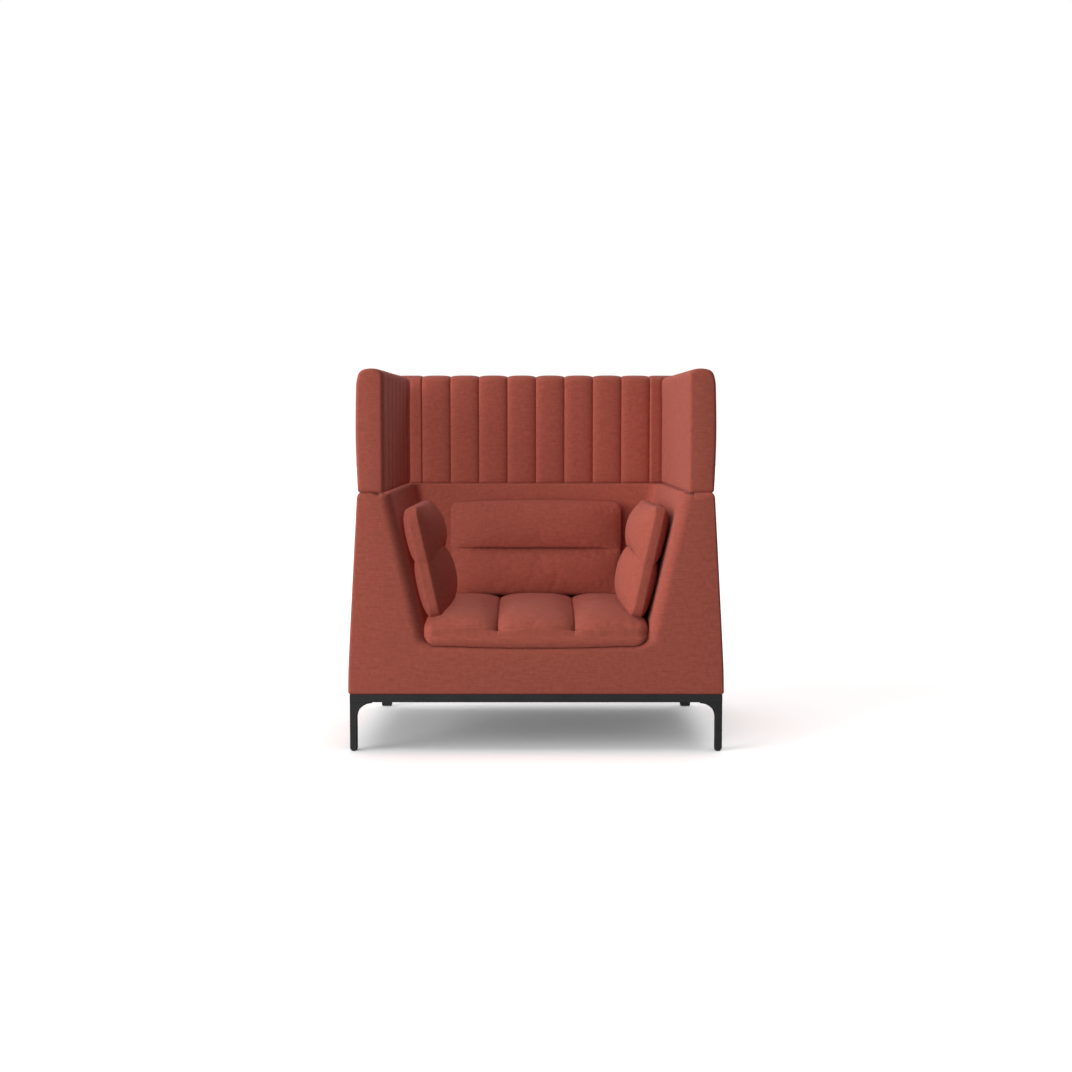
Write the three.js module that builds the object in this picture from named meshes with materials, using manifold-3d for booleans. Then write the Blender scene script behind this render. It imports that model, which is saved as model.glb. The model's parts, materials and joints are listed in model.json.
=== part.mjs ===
// Acoustic high back lounge chair, in millimetres, +Z up, front towards -Y.
// An upholstered tub stands on a steel base, a channelled screen wraps round its top,
// and a seat cushion, a back cushion and two side cushions line the seat.

import * as THREE from "three";
import { mergeVertices } from "three/addons/utils/BufferGeometryUtils.js";
import Module from "manifold-3d";

const wasm = await Module();
wasm.setup();

const { Vector2, Vector3, Matrix4 } = THREE;
const radians = THREE.MathUtils.degToRad;
const quarterTurn = Math.PI / 2;

// Gaps and overruns
const fitGap = 0.3; // between two pieces that touch
const cutOverrun = 30; // how far a cut runs past the piece it cuts
const mergeDistance = 0.001; // vertices closer than this are one

// Overall
const depth = 820; // front face to rear face
const frontY = -depth / 2;
const rearY = depth / 2;
const taperAngle = radians(1.8); // each side draws in towards the back
const planTaper = Math.tan(taperAngle);

// Base
const legHeight = 163.4; // floor to the underside of the rails
const railHeight = 26;
const railWidth = 38;
const railWall = 2;
const baseSideSetback = 6;
const baseFrontSetback = 5;
const baseRearSetback = 12;
const cornerPlateLeg = 74; // short sides of the triangular plate in each corner
const cornerPlateThickness = 5;
const baseBoltInset = 21; // from the inner faces of the two rails that meet
const railTop = legHeight + railHeight;

// Legs
const legWidth = 22;
const legGussetRadius = 52; // quarter round between the leg and the rail
const legGussetTip = 3; // thickness of the gusset's far end
const legToeRadius = 8;
const legBevel = 1.2;
const glideThickness = 3;
const glideMargin = 2; // leg's foot to the glide's edge
const glideCorner = 4;
const glidePegRadius = 4;
const glidePegLength = 16;

// Base bolts
const baseBoltRadius = 4;
const baseBoltHeadRadius = 6.5;
const baseBoltHeadHeight = 8;
const baseBoltLength = 45;
const boltHoleClearance = 0.4;
const socketDepthShare = 0.5; // of the head's height
const socketRadiusShare = 0.5; // of the head's radius

// Tub, outside
const tubBottom = railTop + fitGap;
const seamHeight = 855; // where the screen stands on the tub
const tubHalfWidth = 621;
const sideLeanAngle = radians(3.43); // the sides lean in as they rise
const sideLean = Math.tan(sideLeanAngle);
const kneeRise = 62; // above the bottom, where the lean sets in
const kneeRound = 60;
const tubBottomRound = 6;
const seamRoundHeight = 20;
const seamRoundDepth = 9;
const frontEdgeRadius = 9;
const rearCornerRadius = 20;
const tubLevelShares = [0.05, 0.12, 0.2, 0.35, 0.6]; // rings up the side

// Tub, inside: a basin with slanted walls, open at the front
const seatFloor = 343.6;
const armFootWidth = 261; // tub's outside to where the slanted side would meet the floor
const backFootDepth = 214; // rear face to where the slanted back would meet the floor
const wallLeanWidth = 118; // how far the walls lean out between the floor and the seam
const coveRadius = 50; // between the floor and the walls
const basinCornerRadius = 35; // upright corners, in plan
const frontRollRadius = 9;
const ledgeRollRadius = 10;
const outerFoamThickness = 14;
const innerFoamThickness = 25;
const wellSideMargin = 62; // from the floor's edges to the opening for the deck pad
const wellFrontMargin = 60;
const wellBackMargin = 86;
const floorHalfWidth = tubHalfWidth - armFootWidth;
const floorBack = rearY - backFootDepth;
const wallSlant = Math.atan(wallLeanWidth / (seamHeight - seatFloor));
const wellHalfWidth = floorHalfWidth - wellSideMargin;
const wellFront = frontY + wellFrontMargin;
const wellBack = floorBack - wellBackMargin;

// Timber frame
const frontBoardThickness = 18;
const panelThickness = 12;
const innerPanelThickness = 12;
const seatFrameHeight = 65.6; // seat floor to the underside of the seat rails
const strapBearingWidth = 30; // how far the straps lie on the seat's side rails
const seatRailReach = 80; // how far the back rail reaches in front of the basin's back
const topRailHeight = 60;
const blockSide = 76;
const blockHeight = 60;
const boardCorner = 2;
const dustCoverThickness = 1.5;
const frameBottom = seatFloor - seatFrameHeight;
const seatRailInner = wellHalfWidth - strapBearingWidth; // half the span between the side rails

// Seat suspension
const strapCount = 5;
const strapWidth = 60;
const strapThickness = 2.4;
const strapMargin = 0.5; // strap end to the wall of the well

// Screen
const screenHeight = 404; // above the seam
const screenBulge = 3.25; // how far its face stands past the tub's at the seam
const screenThickness = 90.5; // wings
const screenBackThickness = 78; // at the grooves
const screenInnerRadius = 35; // corner of the inner face
const cornerLeadLength = 14.3; // of the corner channel, before its bend
const cornerTailLength = 37.7; // and after it
const backChannels = 4; // in each half
const wingChannels = 6;
const channelSteps = 4;
const channelSwellHeight = 12; // crown of a channel above its grooves
const swellPower = 2.5;
const wingRollRadius = 9; // round on the wings' front edges
const rollSteps = 2;
const screenTop = seamHeight + screenHeight;
const screenHalfWidth = tubHalf(seamHeight) + screenBulge;
const screenBackInner = rearY - screenBackThickness;
// Section through the screen's wall, from the outer foot over the top to the inner foot:
// how far across, how far up, how much of a channel's swell moves it inwards, and how
// much of the dip between channels lowers it.
const screenSectionShares = [
  [0.14, 0, 0, 0],
  [0.07, 0.025, 0, 0],
  [0.02, 0.26, 0, 0],
  [0, 0.51, 0, 0],
  [0.03, 0.83, 0, 0],
  [0.11, 0.948, 0, 0.1],
  [0.28, 0.987, 0, 0.3],
  [0.58, 1, 0.2, 0.6],
  [0.86, 0.986, 0.5, 0.6],
  [1, 0.955, 1, 0.2],
  [1, 0.48, 1, 0],
  [1, 0.03, 1, 0],
  [0.92, 0, 0.6, 0],
];

// Screen core and its brackets
const coreInset = 30; // from the screen's outer face
const coreThickness = 15;
const coreCornerRadius = 26;
const coreFrontSetback = 24;
const coreTopMargin = 37;
const bracketWidth = 30;
const bracketThickness = 5;
const bracketReach = 80; // above and below the seam
const bracketBoltReach = 50;
const wingBracketSetback = 250; // from the front face
const backBracketShare = 0.425; // of the screen's half width
const bracketBoltRadius = 3;
const bracketBoltHeadRadius = 5.5;
const bracketBoltHeadHeight = 3.5;
const bracketBoltLength = 18;
const coreTop = screenTop - coreTopMargin;
const wingBracketY = frontY + wingBracketSetback;
const backBracketX = backBracketShare * screenHalfWidth;

// Seat cushion
const seatFrontSetback = 5;
const seatSideOverlap = 14; // past the floor's edges, up the slanted walls
const seatBorderHeight = 46.4;
const seatCrownHeight = 70;
const seatGrooveDepth = 19;
const seatMiddleShare = 0.342; // half of the middle channel, of the cushion's half width
const seatRollPower = 3.2; // sides and front
const seatBackPower = 8; // the crown stays full under the back cushion
const seatLineShares = [-1, -0.88, -0.55, 0, 0.55, 0.88]; // across each channel
const seatRowShares = [-1, -0.985, -0.93, -0.82, -0.6, -0.25, 0.2, 0.6, 0.85, 0.96, 1];
const seatFront = frontY + seatFrontSetback;
const seatHalfWidth = floorHalfWidth + seatSideOverlap;
const seatBorderTop = seatFloor + seatBorderHeight;
const seatGrooves = [-1, 1].map((side) => side * seatMiddleShare * seatHalfWidth);

// Side cushions
const sideTopMargin = 48; // to the seam
const sideFootHeight = 46; // above the seat cushion's border
const sideFrontSetback = 52; // from the front face
const sideRearGap = 54; // to the foot of the basin's back
const sideStandOff = 47.4; // from the arm's wall to the cushion's middle plane
const sideBorderThickness = 37;
const sideInnerCrownHeight = 55;
const sideOuterCrownHeight = 30;
const sideGrooveDepth = 18;
const sideDrawInDepth = 6;
const sideCornerRadius = 46;
const sideUprightAngle = radians(0.5); // it leans that much less than the wall
const sideLeanBack = wallSlant - sideUprightAngle;

// Back cushion
const backTopMargin = 55.8;
const backFootHeight = 46.8;
const backSideGap = 45; // to the floor's edges
const backStandOff = 29.6;
const backBorderThickness = 37;
const backInnerCrownHeight = 38;
const backOuterCrownHeight = 12;
const backGrooveDepth = 14;
const backDrawInDepth = 5;
const backCornerRadius = 40;

// Shape of both kinds of loose cushion
const crownPower = 2.6;
const groovePower = 3;
const pinchPower = 6; // how sharply the sides draw in at the middle groove
const lengthShares = [-1, -0.975, -0.88, -0.7, -0.4, 0, 0.4, 0.7, 0.88, 0.975, 1];
const heightShares = [
  -1, -0.965, -0.88, -0.72, -0.5, -0.25, -0.08, 0, 0.08, 0.25, 0.5, 0.72, 0.88, 0.965, 1,
];

// Facets
const edgeSteps = 3;
const cornerSteps = 4;
const coveSteps = 5;
const boltSides = 12;
const socketSides = 6;
const legCurveSteps = 8;

// Materials
const fabric = new THREE.MeshStandardMaterial({ color: 0x964a3e, roughness: 0.95 });
const blackSteel = new THREE.MeshStandardMaterial({
  color: 0x26282a,
  roughness: 0.5,
  metalness: 0.4,
});
const nylon = new THREE.MeshStandardMaterial({ color: 0x141414, roughness: 0.6 });
const zincSteel = new THREE.MeshStandardMaterial({
  color: 0x9a9a98,
  roughness: 0.4,
  metalness: 0.9,
});
const plywood = new THREE.MeshStandardMaterial({ color: 0xc9a26e, roughness: 0.8 });
const beech = new THREE.MeshStandardMaterial({ color: 0xb98a5a, roughness: 0.8 });
const webbing = new THREE.MeshStandardMaterial({ color: 0x2e2a26, roughness: 0.9 });
const blackCloth = new THREE.MeshStandardMaterial({ color: 0x17171a, roughness: 1 });

// Signed volume of an indexed triangle list.
function signedVolume(points, triangles) {
  let six = 0;
  for (let i = 0; i < triangles.length; i += 3) {
    const [a, b, c] = [0, 1, 2].map((k) => new Vector3().fromArray(points, 3 * triangles[i + k]));
    six += a.dot(b.cross(c));
  }
  return six;
}

// A closed geometry as a solid that faces out.
function toSolid(geometry) {
  const bare = new THREE.BufferGeometry();
  bare.setAttribute("position", geometry.getAttribute("position").clone());
  bare.setIndex(geometry.index);
  const merged = mergeVertices(bare, mergeDistance);
  const points = merged.attributes.position.array;
  const triangles = new Uint32Array(merged.index.array);
  if (signedVolume(points, triangles) < 0) triangles.reverse();
  return new wasm.Manifold(
    new wasm.Mesh({ numProp: 3, vertProperties: points, triVerts: triangles }),
  );
}

// A solid as a named mesh.
function toMesh(name, solid, material) {
  const { vertProperties, triVerts } = solid.getMesh();
  const geometry = new THREE.BufferGeometry();
  geometry.setAttribute("position", new THREE.BufferAttribute(new Float32Array(vertProperties), 3));
  geometry.setIndex(new THREE.BufferAttribute(new Uint32Array(triVerts), 1));
  geometry.computeVertexNormals();
  const mesh = new THREE.Mesh(geometry, material);
  mesh.name = name;
  return mesh;
}

// The same object on the other side of the chair.
function mirrored(object, rename) {
  const copy = object.clone();
  copy.scale.x = -1;
  copy.position.x = -object.position.x;
  copy.rotation.z = -object.rotation.z;
  copy.traverse((o) => {
    if (o.isMesh) o.name = rename(o.name);
  });
  return copy;
}

function block(x0, x1, y0, y1, z0, z1) {
  const box = new THREE.BoxGeometry(x1 - x0, y1 - y0, z1 - z0);
  return toSolid(box.translate((x0 + x1) / 2, (y0 + y1) / 2, (z0 + z1) / 2));
}

// Triangles that fill a ring, wound the way the ring runs.
function fillRing(ring, flat) {
  const outline = ring.map(flat);
  const turn = THREE.ShapeUtils.area(outline);
  return THREE.ShapeUtils.triangulateShape(outline, []).map((corners) => {
    const sameWay = THREE.ShapeUtils.area(corners.map((i) => outline[i])) * turn > 0;
    return sameWay ? corners : corners.reverse();
  });
}

// Solid between matching rings of points; flat() gives the plane in which the ends are filled.
function loft(rings, flat) {
  const count = rings[0].length;
  const points = rings.flat().flatMap((p) => p.toArray());
  const triangles = [];
  for (let r = 0; r + 1 < rings.length; r++) {
    for (let i = 0; i < count; i++) {
      const j = (i + 1) % count;
      const [a, b, c, d] = [r * count + i, r * count + j, (r + 1) * count + j, (r + 1) * count + i];
      triangles.push(a, b, c, a, c, d);
    }
  }
  const start = (rings.length - 1) * count;
  for (const corners of fillRing(rings[0], flat)) triangles.push(...corners.reverse());
  for (const corners of fillRing(rings.at(-1), flat)) triangles.push(...corners.map((i) => start + i));
  const geometry = new THREE.BufferGeometry();
  geometry.setAttribute("position", new THREE.Float32BufferAttribute(points, 3));
  geometry.setIndex(triangles);
  return toSolid(geometry);
}

const fromAbove = (p) => new Vector2(p.x, p.y);
const fromFront = (p) => new Vector2(p.x, p.z);

// Points of an arc in a plane.
function arc(x, y, radius, from, to, steps) {
  return Array.from({ length: steps + 1 }, (_, i) => {
    const angle = from + ((to - from) * i) / steps;
    return [x + radius * Math.cos(angle), y + radius * Math.sin(angle)];
  });
}

// Outline in x and z, drawn out along y.
function prismAlongY(outline, y0, y1) {
  const shape = new THREE.Shape(outline.map(([x, z]) => new Vector2(x, z)));
  const drawn = new THREE.ExtrudeGeometry(shape, { depth: y1 - y0, bevelEnabled: false });
  return toSolid(drawn.applyMatrix4(new Matrix4().makeRotationX(quarterTurn)).translate(0, y1, 0));
}

// Outline in y and z, drawn out along x.
function prismAlongX(outline, x0, x1) {
  const shape = new THREE.Shape(outline.map(([y, z]) => new Vector2(y, z)));
  const drawn = new THREE.ExtrudeGeometry(shape, { depth: x1 - x0, bevelEnabled: false });
  const turn = new Matrix4().makeBasis(
    new Vector3(0, 1, 0),
    new Vector3(0, 0, 1),
    new Vector3(1, 0, 0),
  );
  return toSolid(drawn.applyMatrix4(turn).translate(x0, 0, 0));
}

// Outline in x and y, drawn up along z.
function prismAlongZ(outline, z0, z1) {
  const shape = new THREE.Shape(outline.map(([x, y]) => new Vector2(x, y)));
  const drawn = new THREE.ExtrudeGeometry(shape, { depth: z1 - z0, bevelEnabled: false });
  return toSolid(drawn.translate(0, 0, z0));
}

function uprightCylinder(radius, x, y, z0, z1) {
  const drawn = new THREE.CylinderGeometry(radius, radius, z1 - z0, boltSides);
  return toSolid(drawn.rotateX(quarterTurn).translate(x, y, (z0 + z1) / 2));
}

// Plan ring between two y values, with the side taper and rounded corners.
function planRing({ half, front, rear, frontRadius, rearRadius, z }) {
  const edge = (y) => half - planTaper * (y - frontY);
  const frontCentre = front + frontRadius;
  const rearCentre = rear - rearRadius;
  const right = [
    ...arc(edge(frontCentre) - frontRadius, frontCentre, frontRadius, -quarterTurn, 0, edgeSteps),
    ...arc(edge(rearCentre) - rearRadius, rearCentre, rearRadius, 0, quarterTurn, cornerSteps),
  ];
  const left = right.map(([x, y]) => [-x, y]).reverse();
  return [...right, ...left].map(([x, y]) => new Vector3(x, y, z));
}

// Half width of the tub's outside at the front, at a height.
function tubHalf(z) {
  const rise = z - tubBottom - kneeRise;
  return tubHalfWidth - (sideLean * (rise + Math.hypot(rise, kneeRound))) / 2;
}

function tubRing(z, inset) {
  return planRing({
    half: tubHalf(z) - inset,
    front: frontY + inset,
    rear: rearY - inset,
    frontRadius: Math.max(frontEdgeRadius - inset, boardCorner),
    rearRadius: Math.max(rearCornerRadius - inset, boardCorner),
    z,
  });
}

// The tub's outside, with both its edges rounded.
function tubOutside() {
  const low = tubBottom + tubBottomRound;
  const high = seamHeight - seamRoundHeight;
  const foot = arc(0, 0, tubBottomRound, 0, quarterTurn, edgeSteps).map(([x, y]) => [
    low - x,
    tubBottomRound - y,
  ]);
  const side = tubLevelShares.map((share) => [low + share * (high - low), 0]);
  const top = arc(0, 0, seamRoundHeight, quarterTurn, 0, edgeSteps).map(([x, y]) => [
    high + x,
    seamRoundDepth * (1 - y / seamRoundHeight),
  ]);
  return loft(
    [...foot, ...side, ...top].map(([z, inset]) => tubRing(z, inset)),
    fromAbove,
  );
}

// The tub's outside moved in by an inset, between two heights.
function tubCore(inset, z0, z1) {
  const shares = [0, 0.12, 0.24, 0.5, 1];
  return loft(
    shares.map((share) => tubRing(z0 + share * (z1 - z0), inset)),
    fromAbove,
  );
}

// How far a slanted wall lies beyond the floor's reference line, at a height.
const wallSpread = (z, grow) => Math.tan(wallSlant) * (z - seatFloor) + grow / Math.cos(wallSlant);

// Spread and height of the cove between the floor and the slanted wall.
function covePoints(grow) {
  const reach = coveRadius * Math.tan((quarterTurn - wallSlant) / 2);
  return arc(
    -reach,
    seatFloor + coveRadius,
    coveRadius + grow,
    -quarterTurn,
    -wallSlant,
    coveSteps,
  );
}

// The basin's space, grown on all sides, from its floor up past the seam.
function basin(grow, ledge = 0) {
  const top = seamHeight + cutOverrun;
  const rows = covePoints(grow);
  if (ledge > 0) {
    for (const [x, y] of arc(0, 0, ledge, quarterTurn, 0, edgeSteps)) {
      const z = seamHeight - ledge + x;
      rows.push([wallSpread(z, grow) + ledge - y, z]);
    }
    rows.push([wallSpread(seamHeight, grow) + ledge, top]);
  } else {
    rows.push([wallSpread(top, grow), top]);
  }
  return loft(
    rows.map(([spread, z]) =>
      planRing({
        half: floorHalfWidth + spread,
        front: frontY - 2 * cutOverrun,
        rear: floorBack + spread,
        frontRadius: boardCorner,
        rearRadius: basinCornerRadius + grow,
        z,
      }),
    ),
    fromAbove,
  );
}

// The roll round the basin's opening in the front face.
function openingRoll() {
  const steps = arc(0, 0, frontRollRadius, 0, quarterTurn, edgeSteps).map(([x, y]) => [
    frontY + frontRollRadius - x,
    frontRollRadius - y,
  ]);
  const sections = [[frontY - cutOverrun, frontRollRadius], ...steps];
  const top = seamHeight + cutOverrun;
  const last = fitGap / 2; // keeps the end of the roll from touching the basin's wall
  return loft(
    sections.map(([y, grow]) => {
      const right = covePoints(grow - last).concat([[wallSpread(top, grow - last), top]]);
      const side = right.map(([spread, z]) => [
        floorHalfWidth + spread - planTaper * (y - frontY),
        z,
      ]);
      const other = side.map(([x, z]) => [-x, z]).reverse();
      return [...side, ...other].map(([x, z]) => new Vector3(x, y, z));
    }),
    fromFront,
  );
}

// A straight-sided trough along y, whose sides are the basin's slanted walls grown outwards.
function trough(grow, z0, z1) {
  const y0 = frontY - cutOverrun;
  const y1 = rearY + cutOverrun;
  return loft(
    [z0, z1].map((z) => {
      const half = (y) => floorHalfWidth + wallSpread(z, grow) - planTaper * (y - frontY);
      return [
        new Vector3(half(y0), y0, z),
        new Vector3(half(y1), y1, z),
        new Vector3(-half(y1), y1, z),
        new Vector3(-half(y0), y0, z),
      ];
    }),
    fromAbove,
  );
}

// Everything in front of the basin's slanted back, grown backwards.
function beforeBack(grow, z0, z1) {
  const y0 = frontY - cutOverrun;
  const outline = [
    [y0, z0],
    [floorBack + wallSpread(z0, grow), z0],
    [floorBack + wallSpread(z1, grow), z1],
    [y0, z1],
  ];
  return prismAlongX(outline, -tubHalfWidth, tubHalfWidth);
}

// Everything within a tapered plan that stays the same at every height.
function taperedSlab(half, z0, z1) {
  const y0 = frontY - cutOverrun;
  const y1 = rearY + cutOverrun;
  const edge = (y) => half - planTaper * (y - frontY);
  const outline = [
    [edge(y0), y0],
    [edge(y1), y1],
    [-edge(y1), y1],
    [-edge(y0), y0],
  ];
  return prismAlongZ(outline, z0, z1);
}

// Places shared by the timber pieces
const frameTop = seamHeight - outerFoamThickness - fitGap;
const frontBoardY = frontY + outerFoamThickness + fitGap;
const frameFront = frontBoardY + frontBoardThickness + fitGap;
const backPanelY = rearY - outerFoamThickness - fitGap - panelThickness;
const frameBack = backPanelY - fitGap;
const panelInner = outerFoamThickness + fitGap + panelThickness; // inset of a side panel's inner face
const innerPanelInner = innerFoamThickness + fitGap;
const innerPanelOuter = innerPanelInner + innerPanelThickness;
const coreInnerHalf = screenHalfWidth - coreInset - coreThickness;
const deckTop = seatFloor - innerFoamThickness - fitGap;
const farX = tubHalfWidth + cutOverrun;

// Place of each bracket: its origin lies on the core's inner face at the seam,
// its own -x points into the chair.
function bracketPlaces() {
  const wing = new Vector3(coreInnerHalf - planTaper * (wingBracketY - frontY), wingBracketY);
  const back = new Vector3(backBracketX, rearY - coreInset - coreThickness);
  return [
    { name: "wing", position: wing.setZ(seamHeight), turn: taperAngle },
    { name: "back", position: back.setZ(seamHeight), turn: quarterTurn },
  ];
}

// A solid in a bracket's own frame, set at each of the four bracket places.
function atBrackets(geometry) {
  return bracketPlaces().flatMap(({ position, turn }) => {
    const place = new Matrix4().makeRotationZ(turn).setPosition(position);
    const right = geometry.clone().applyMatrix4(place);
    return [toSolid(right), toSolid(right.clone().applyMatrix4(new Matrix4().makeScale(-1, 1, 1)))];
  });
}

// The pocket that a bracket and its bolt heads stand in.
function bracketPockets() {
  const deep = bracketThickness + bracketBoltHeadHeight + 3 * fitGap;
  const tall = 2 * (bracketReach + fitGap);
  const pocket = new THREE.BoxGeometry(deep + fitGap, bracketWidth + 2 * fitGap, tall);
  return atBrackets(pocket.translate((fitGap - deep) / 2, 0, 0));
}

// The clearance holes for the bracket bolts, above and below the seam.
function bracketBoltHoles() {
  return [-bracketBoltReach, bracketBoltReach].flatMap((z) => {
    const radius = bracketBoltRadius + boltHoleClearance;
    const long = 2 * (bracketBoltLength + fitGap);
    const hole = new THREE.CylinderGeometry(radius, radius, long, boltSides).rotateZ(quarterTurn);
    return atBrackets(hole.translate(0, 0, z));
  });
}

function cutAll(solid, cutters) {
  return cutters.reduce((rest, cutter) => rest.subtract(cutter), solid);
}

// Foam and fabric of the tub, hollow and open below for its timber frame.
function tubUpholstery() {
  const below = tubBottom - cutOverrun;
  const under = tubCore(outerFoamThickness, below, seamHeight - outerFoamThickness);
  const hollow = under.subtract(basin(innerFoamThickness));
  const wellTop = seatFloor + fitGap;
  const well = block(-wellHalfWidth, wellHalfWidth, wellFront, wellBack, frameBottom, wellTop);
  const shell = tubOutside().subtract(basin(0, ledgeRollRadius)).subtract(openingRoll());
  return cutAll(shell.subtract(hollow).subtract(well), bracketPockets());
}

// U-shaped board behind the tub's front face.
function frontFrameBoard() {
  const slab = block(-farX, farX, frontBoardY, frontBoardY + frontBoardThickness, 0, frameTop);
  return tubCore(outerFoamThickness + fitGap, tubBottom, frameTop)
    .intersect(slab)
    .subtract(basin(innerPanelInner));
}

function backPanel() {
  const slab = block(-farX, farX, backPanelY, rearY, 0, frameTop);
  return tubCore(outerFoamThickness + fitGap, tubBottom, frameTop).intersect(slab);
}

function sidePanel() {
  const slab = block(0, farX, frameFront, frameBack, 0, frameTop);
  return tubCore(outerFoamThickness + fitGap, tubBottom, frameTop)
    .subtract(tubCore(panelInner, tubBottom - cutOverrun, frameTop + cutOverrun))
    .intersect(slab);
}

function armInnerPanel() {
  const slab = block(0, farX, frameFront, frameBack, frameBottom, frameTop);
  const low = frameBottom - cutOverrun;
  const high = frameTop + cutOverrun;
  return trough(innerPanelOuter, low, high)
    .subtract(trough(innerPanelInner, low, high))
    .intersect(slab);
}

function backInnerPanel() {
  return beforeBack(innerPanelOuter, frameBottom, frameTop)
    .subtract(beforeBack(innerPanelInner, frameBottom - fitGap, frameTop + fitGap))
    .intersect(trough(innerFoamThickness, frameBottom, frameTop));
}

// Everything inside the slanted panels and under the basin's foam.
function underBasin() {
  const top = seatFloor + coveRadius;
  return trough(innerFoamThickness, frameBottom, top)
    .intersect(beforeBack(innerFoamThickness, frameBottom, top))
    .subtract(basin(innerPanelInner));
}

function seatSideRail() {
  return underBasin().intersect(
    block(seatRailInner, farX, frameFront, rearY, frameBottom, seatFloor + coveRadius),
  );
}

function seatBackRail() {
  const half = seatRailInner - fitGap;
  const front = floorBack - seatRailReach;
  return underBasin().intersect(
    block(-half, half, front, rearY, frameBottom, seatFloor + coveRadius),
  );
}

function armTopRail() {
  const low = frameTop - topRailHeight;
  return tubCore(panelInner + fitGap, low, frameTop)
    .subtract(taperedSlab(coreInnerHalf, low - cutOverrun, frameTop + cutOverrun))
    .intersect(block(0, farX, frameFront, frameBack, low, frameTop));
}

function backTopRail() {
  const low = frameTop - topRailHeight;
  const front = rearY - coreInset - coreThickness;
  return trough(innerFoamThickness, low, frameTop).intersect(
    block(-farX, farX, front, frameBack, low, frameTop),
  );
}

// Plan corners of the base frame, on its outside and on its inside, for x above zero.
const baseFront = frontY + baseFrontSetback;
const baseRear = rearY - baseRearSetback;
const baseEdge = (y) => tubHalfWidth - baseSideSetback - planTaper * (y - frontY);
const baseInnerEdge = (y) => baseEdge(y) - railWidth / Math.cos(taperAngle);
const baseInnerFront = baseFront + railWidth;
const baseInnerRear = baseRear - railWidth;
const mitreGap = fitGap * Math.SQRT2;

// Centre of a base bolt, in the front or the back corner.
function baseBoltPlace(end) {
  const y = end === "front" ? baseInnerFront + baseBoltInset : baseInnerRear - baseBoltInset;
  return new Vector2(baseInnerEdge(y) - baseBoltInset, y);
}

// Front or back rail: a rectangular tube with mitred ends, between its outer and inner face.
function crossRail(outerY, innerY) {
  const outline = [
    [baseEdge(outerY), outerY],
    [baseInnerEdge(innerY), innerY],
    [-baseInnerEdge(innerY), innerY],
    [-baseEdge(outerY), outerY],
  ];
  const low = Math.min(outerY, innerY) + railWall;
  const high = Math.max(outerY, innerY) - railWall;
  const bore = block(-farX, farX, low, high, legHeight + railWall, railTop - railWall);
  return prismAlongZ(outline, legHeight, railTop).subtract(bore);
}

// Side rail with its two corner plates welded on.
function sideRail() {
  const [outerFront, outerRear] = [baseFront + mitreGap, baseRear - mitreGap];
  const [innerFront, innerRear] = [baseInnerFront + mitreGap, baseInnerRear - mitreGap];
  const tube = prismAlongZ(
    [
      [baseEdge(outerFront), outerFront],
      [baseEdge(outerRear), outerRear],
      [baseInnerEdge(innerRear), innerRear],
      [baseInnerEdge(innerFront), innerFront],
    ],
    legHeight,
    railTop,
  );
  const bore = [
    [baseEdge(frontY) - railWall, frontY],
    [baseEdge(rearY) - railWall, rearY],
    [baseInnerEdge(rearY) + railWall, rearY],
    [baseInnerEdge(frontY) + railWall, frontY],
  ];
  const hollow = prismAlongZ(bore, legHeight + railWall, railTop - railWall);
  return tube
    .subtract(hollow)
    .add(cornerPlate(innerFront, innerFront + cornerPlateLeg, "front"))
    .add(cornerPlate(innerRear, innerRear - cornerPlateLeg, "back"));
}

// Triangular plate against the side rail's inner face, drilled for the base bolt.
function cornerPlate(y0, y1, end) {
  const weld = railWall / 2; // how far the plate runs into the rail's wall
  const outline = [
    [baseInnerEdge(y0) + weld, y0],
    [baseInnerEdge(y1) + weld, y1],
    [baseInnerEdge(y1), y1],
    [baseInnerEdge(y0) - cornerPlateLeg, y0],
  ];
  const { x, y } = baseBoltPlace(end);
  const low = railTop - cornerPlateThickness;
  const radius = baseBoltRadius + boltHoleClearance;
  const hole = uprightCylinder(radius, x, y, low - fitGap, railTop + fitGap);
  return prismAlongZ(outline, low, railTop).subtract(hole);
}

// Leg in its own frame: the outer corner at the origin, the leg towards -x, its depth along +y.
function legSolid() {
  const top = legHeight - fitGap;
  const foot = glideThickness + fitGap;
  const shape = new THREE.Shape();
  shape.moveTo(0, top);
  shape.lineTo(-legWidth - legGussetRadius, top);
  shape.absarc(
    -legWidth - legGussetRadius,
    top - legGussetTip - legGussetRadius,
    legGussetRadius,
    quarterTurn,
    0,
    true,
  );
  shape.lineTo(-legWidth, foot);
  shape.lineTo(-legToeRadius, foot);
  shape.absarc(-legToeRadius, foot + legToeRadius, legToeRadius, -quarterTurn, 0, false);
  shape.closePath();
  const drawn = new THREE.ExtrudeGeometry(shape, {
    depth: railWidth - 2 * legBevel,
    curveSegments: legCurveSteps,
    bevelThickness: legBevel,
    bevelSize: legBevel,
    bevelOffset: -legBevel,
    bevelSegments: 1,
  });
  drawn.rotateX(quarterTurn).translate(0, railWidth - legBevel, 0);
  const socket = uprightCylinder(
    glidePegRadius + boltHoleClearance,
    -legWidth / 2,
    railWidth / 2,
    0,
    foot + glidePegLength + fitGap,
  );
  return toSolid(drawn).subtract(socket);
}

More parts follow.
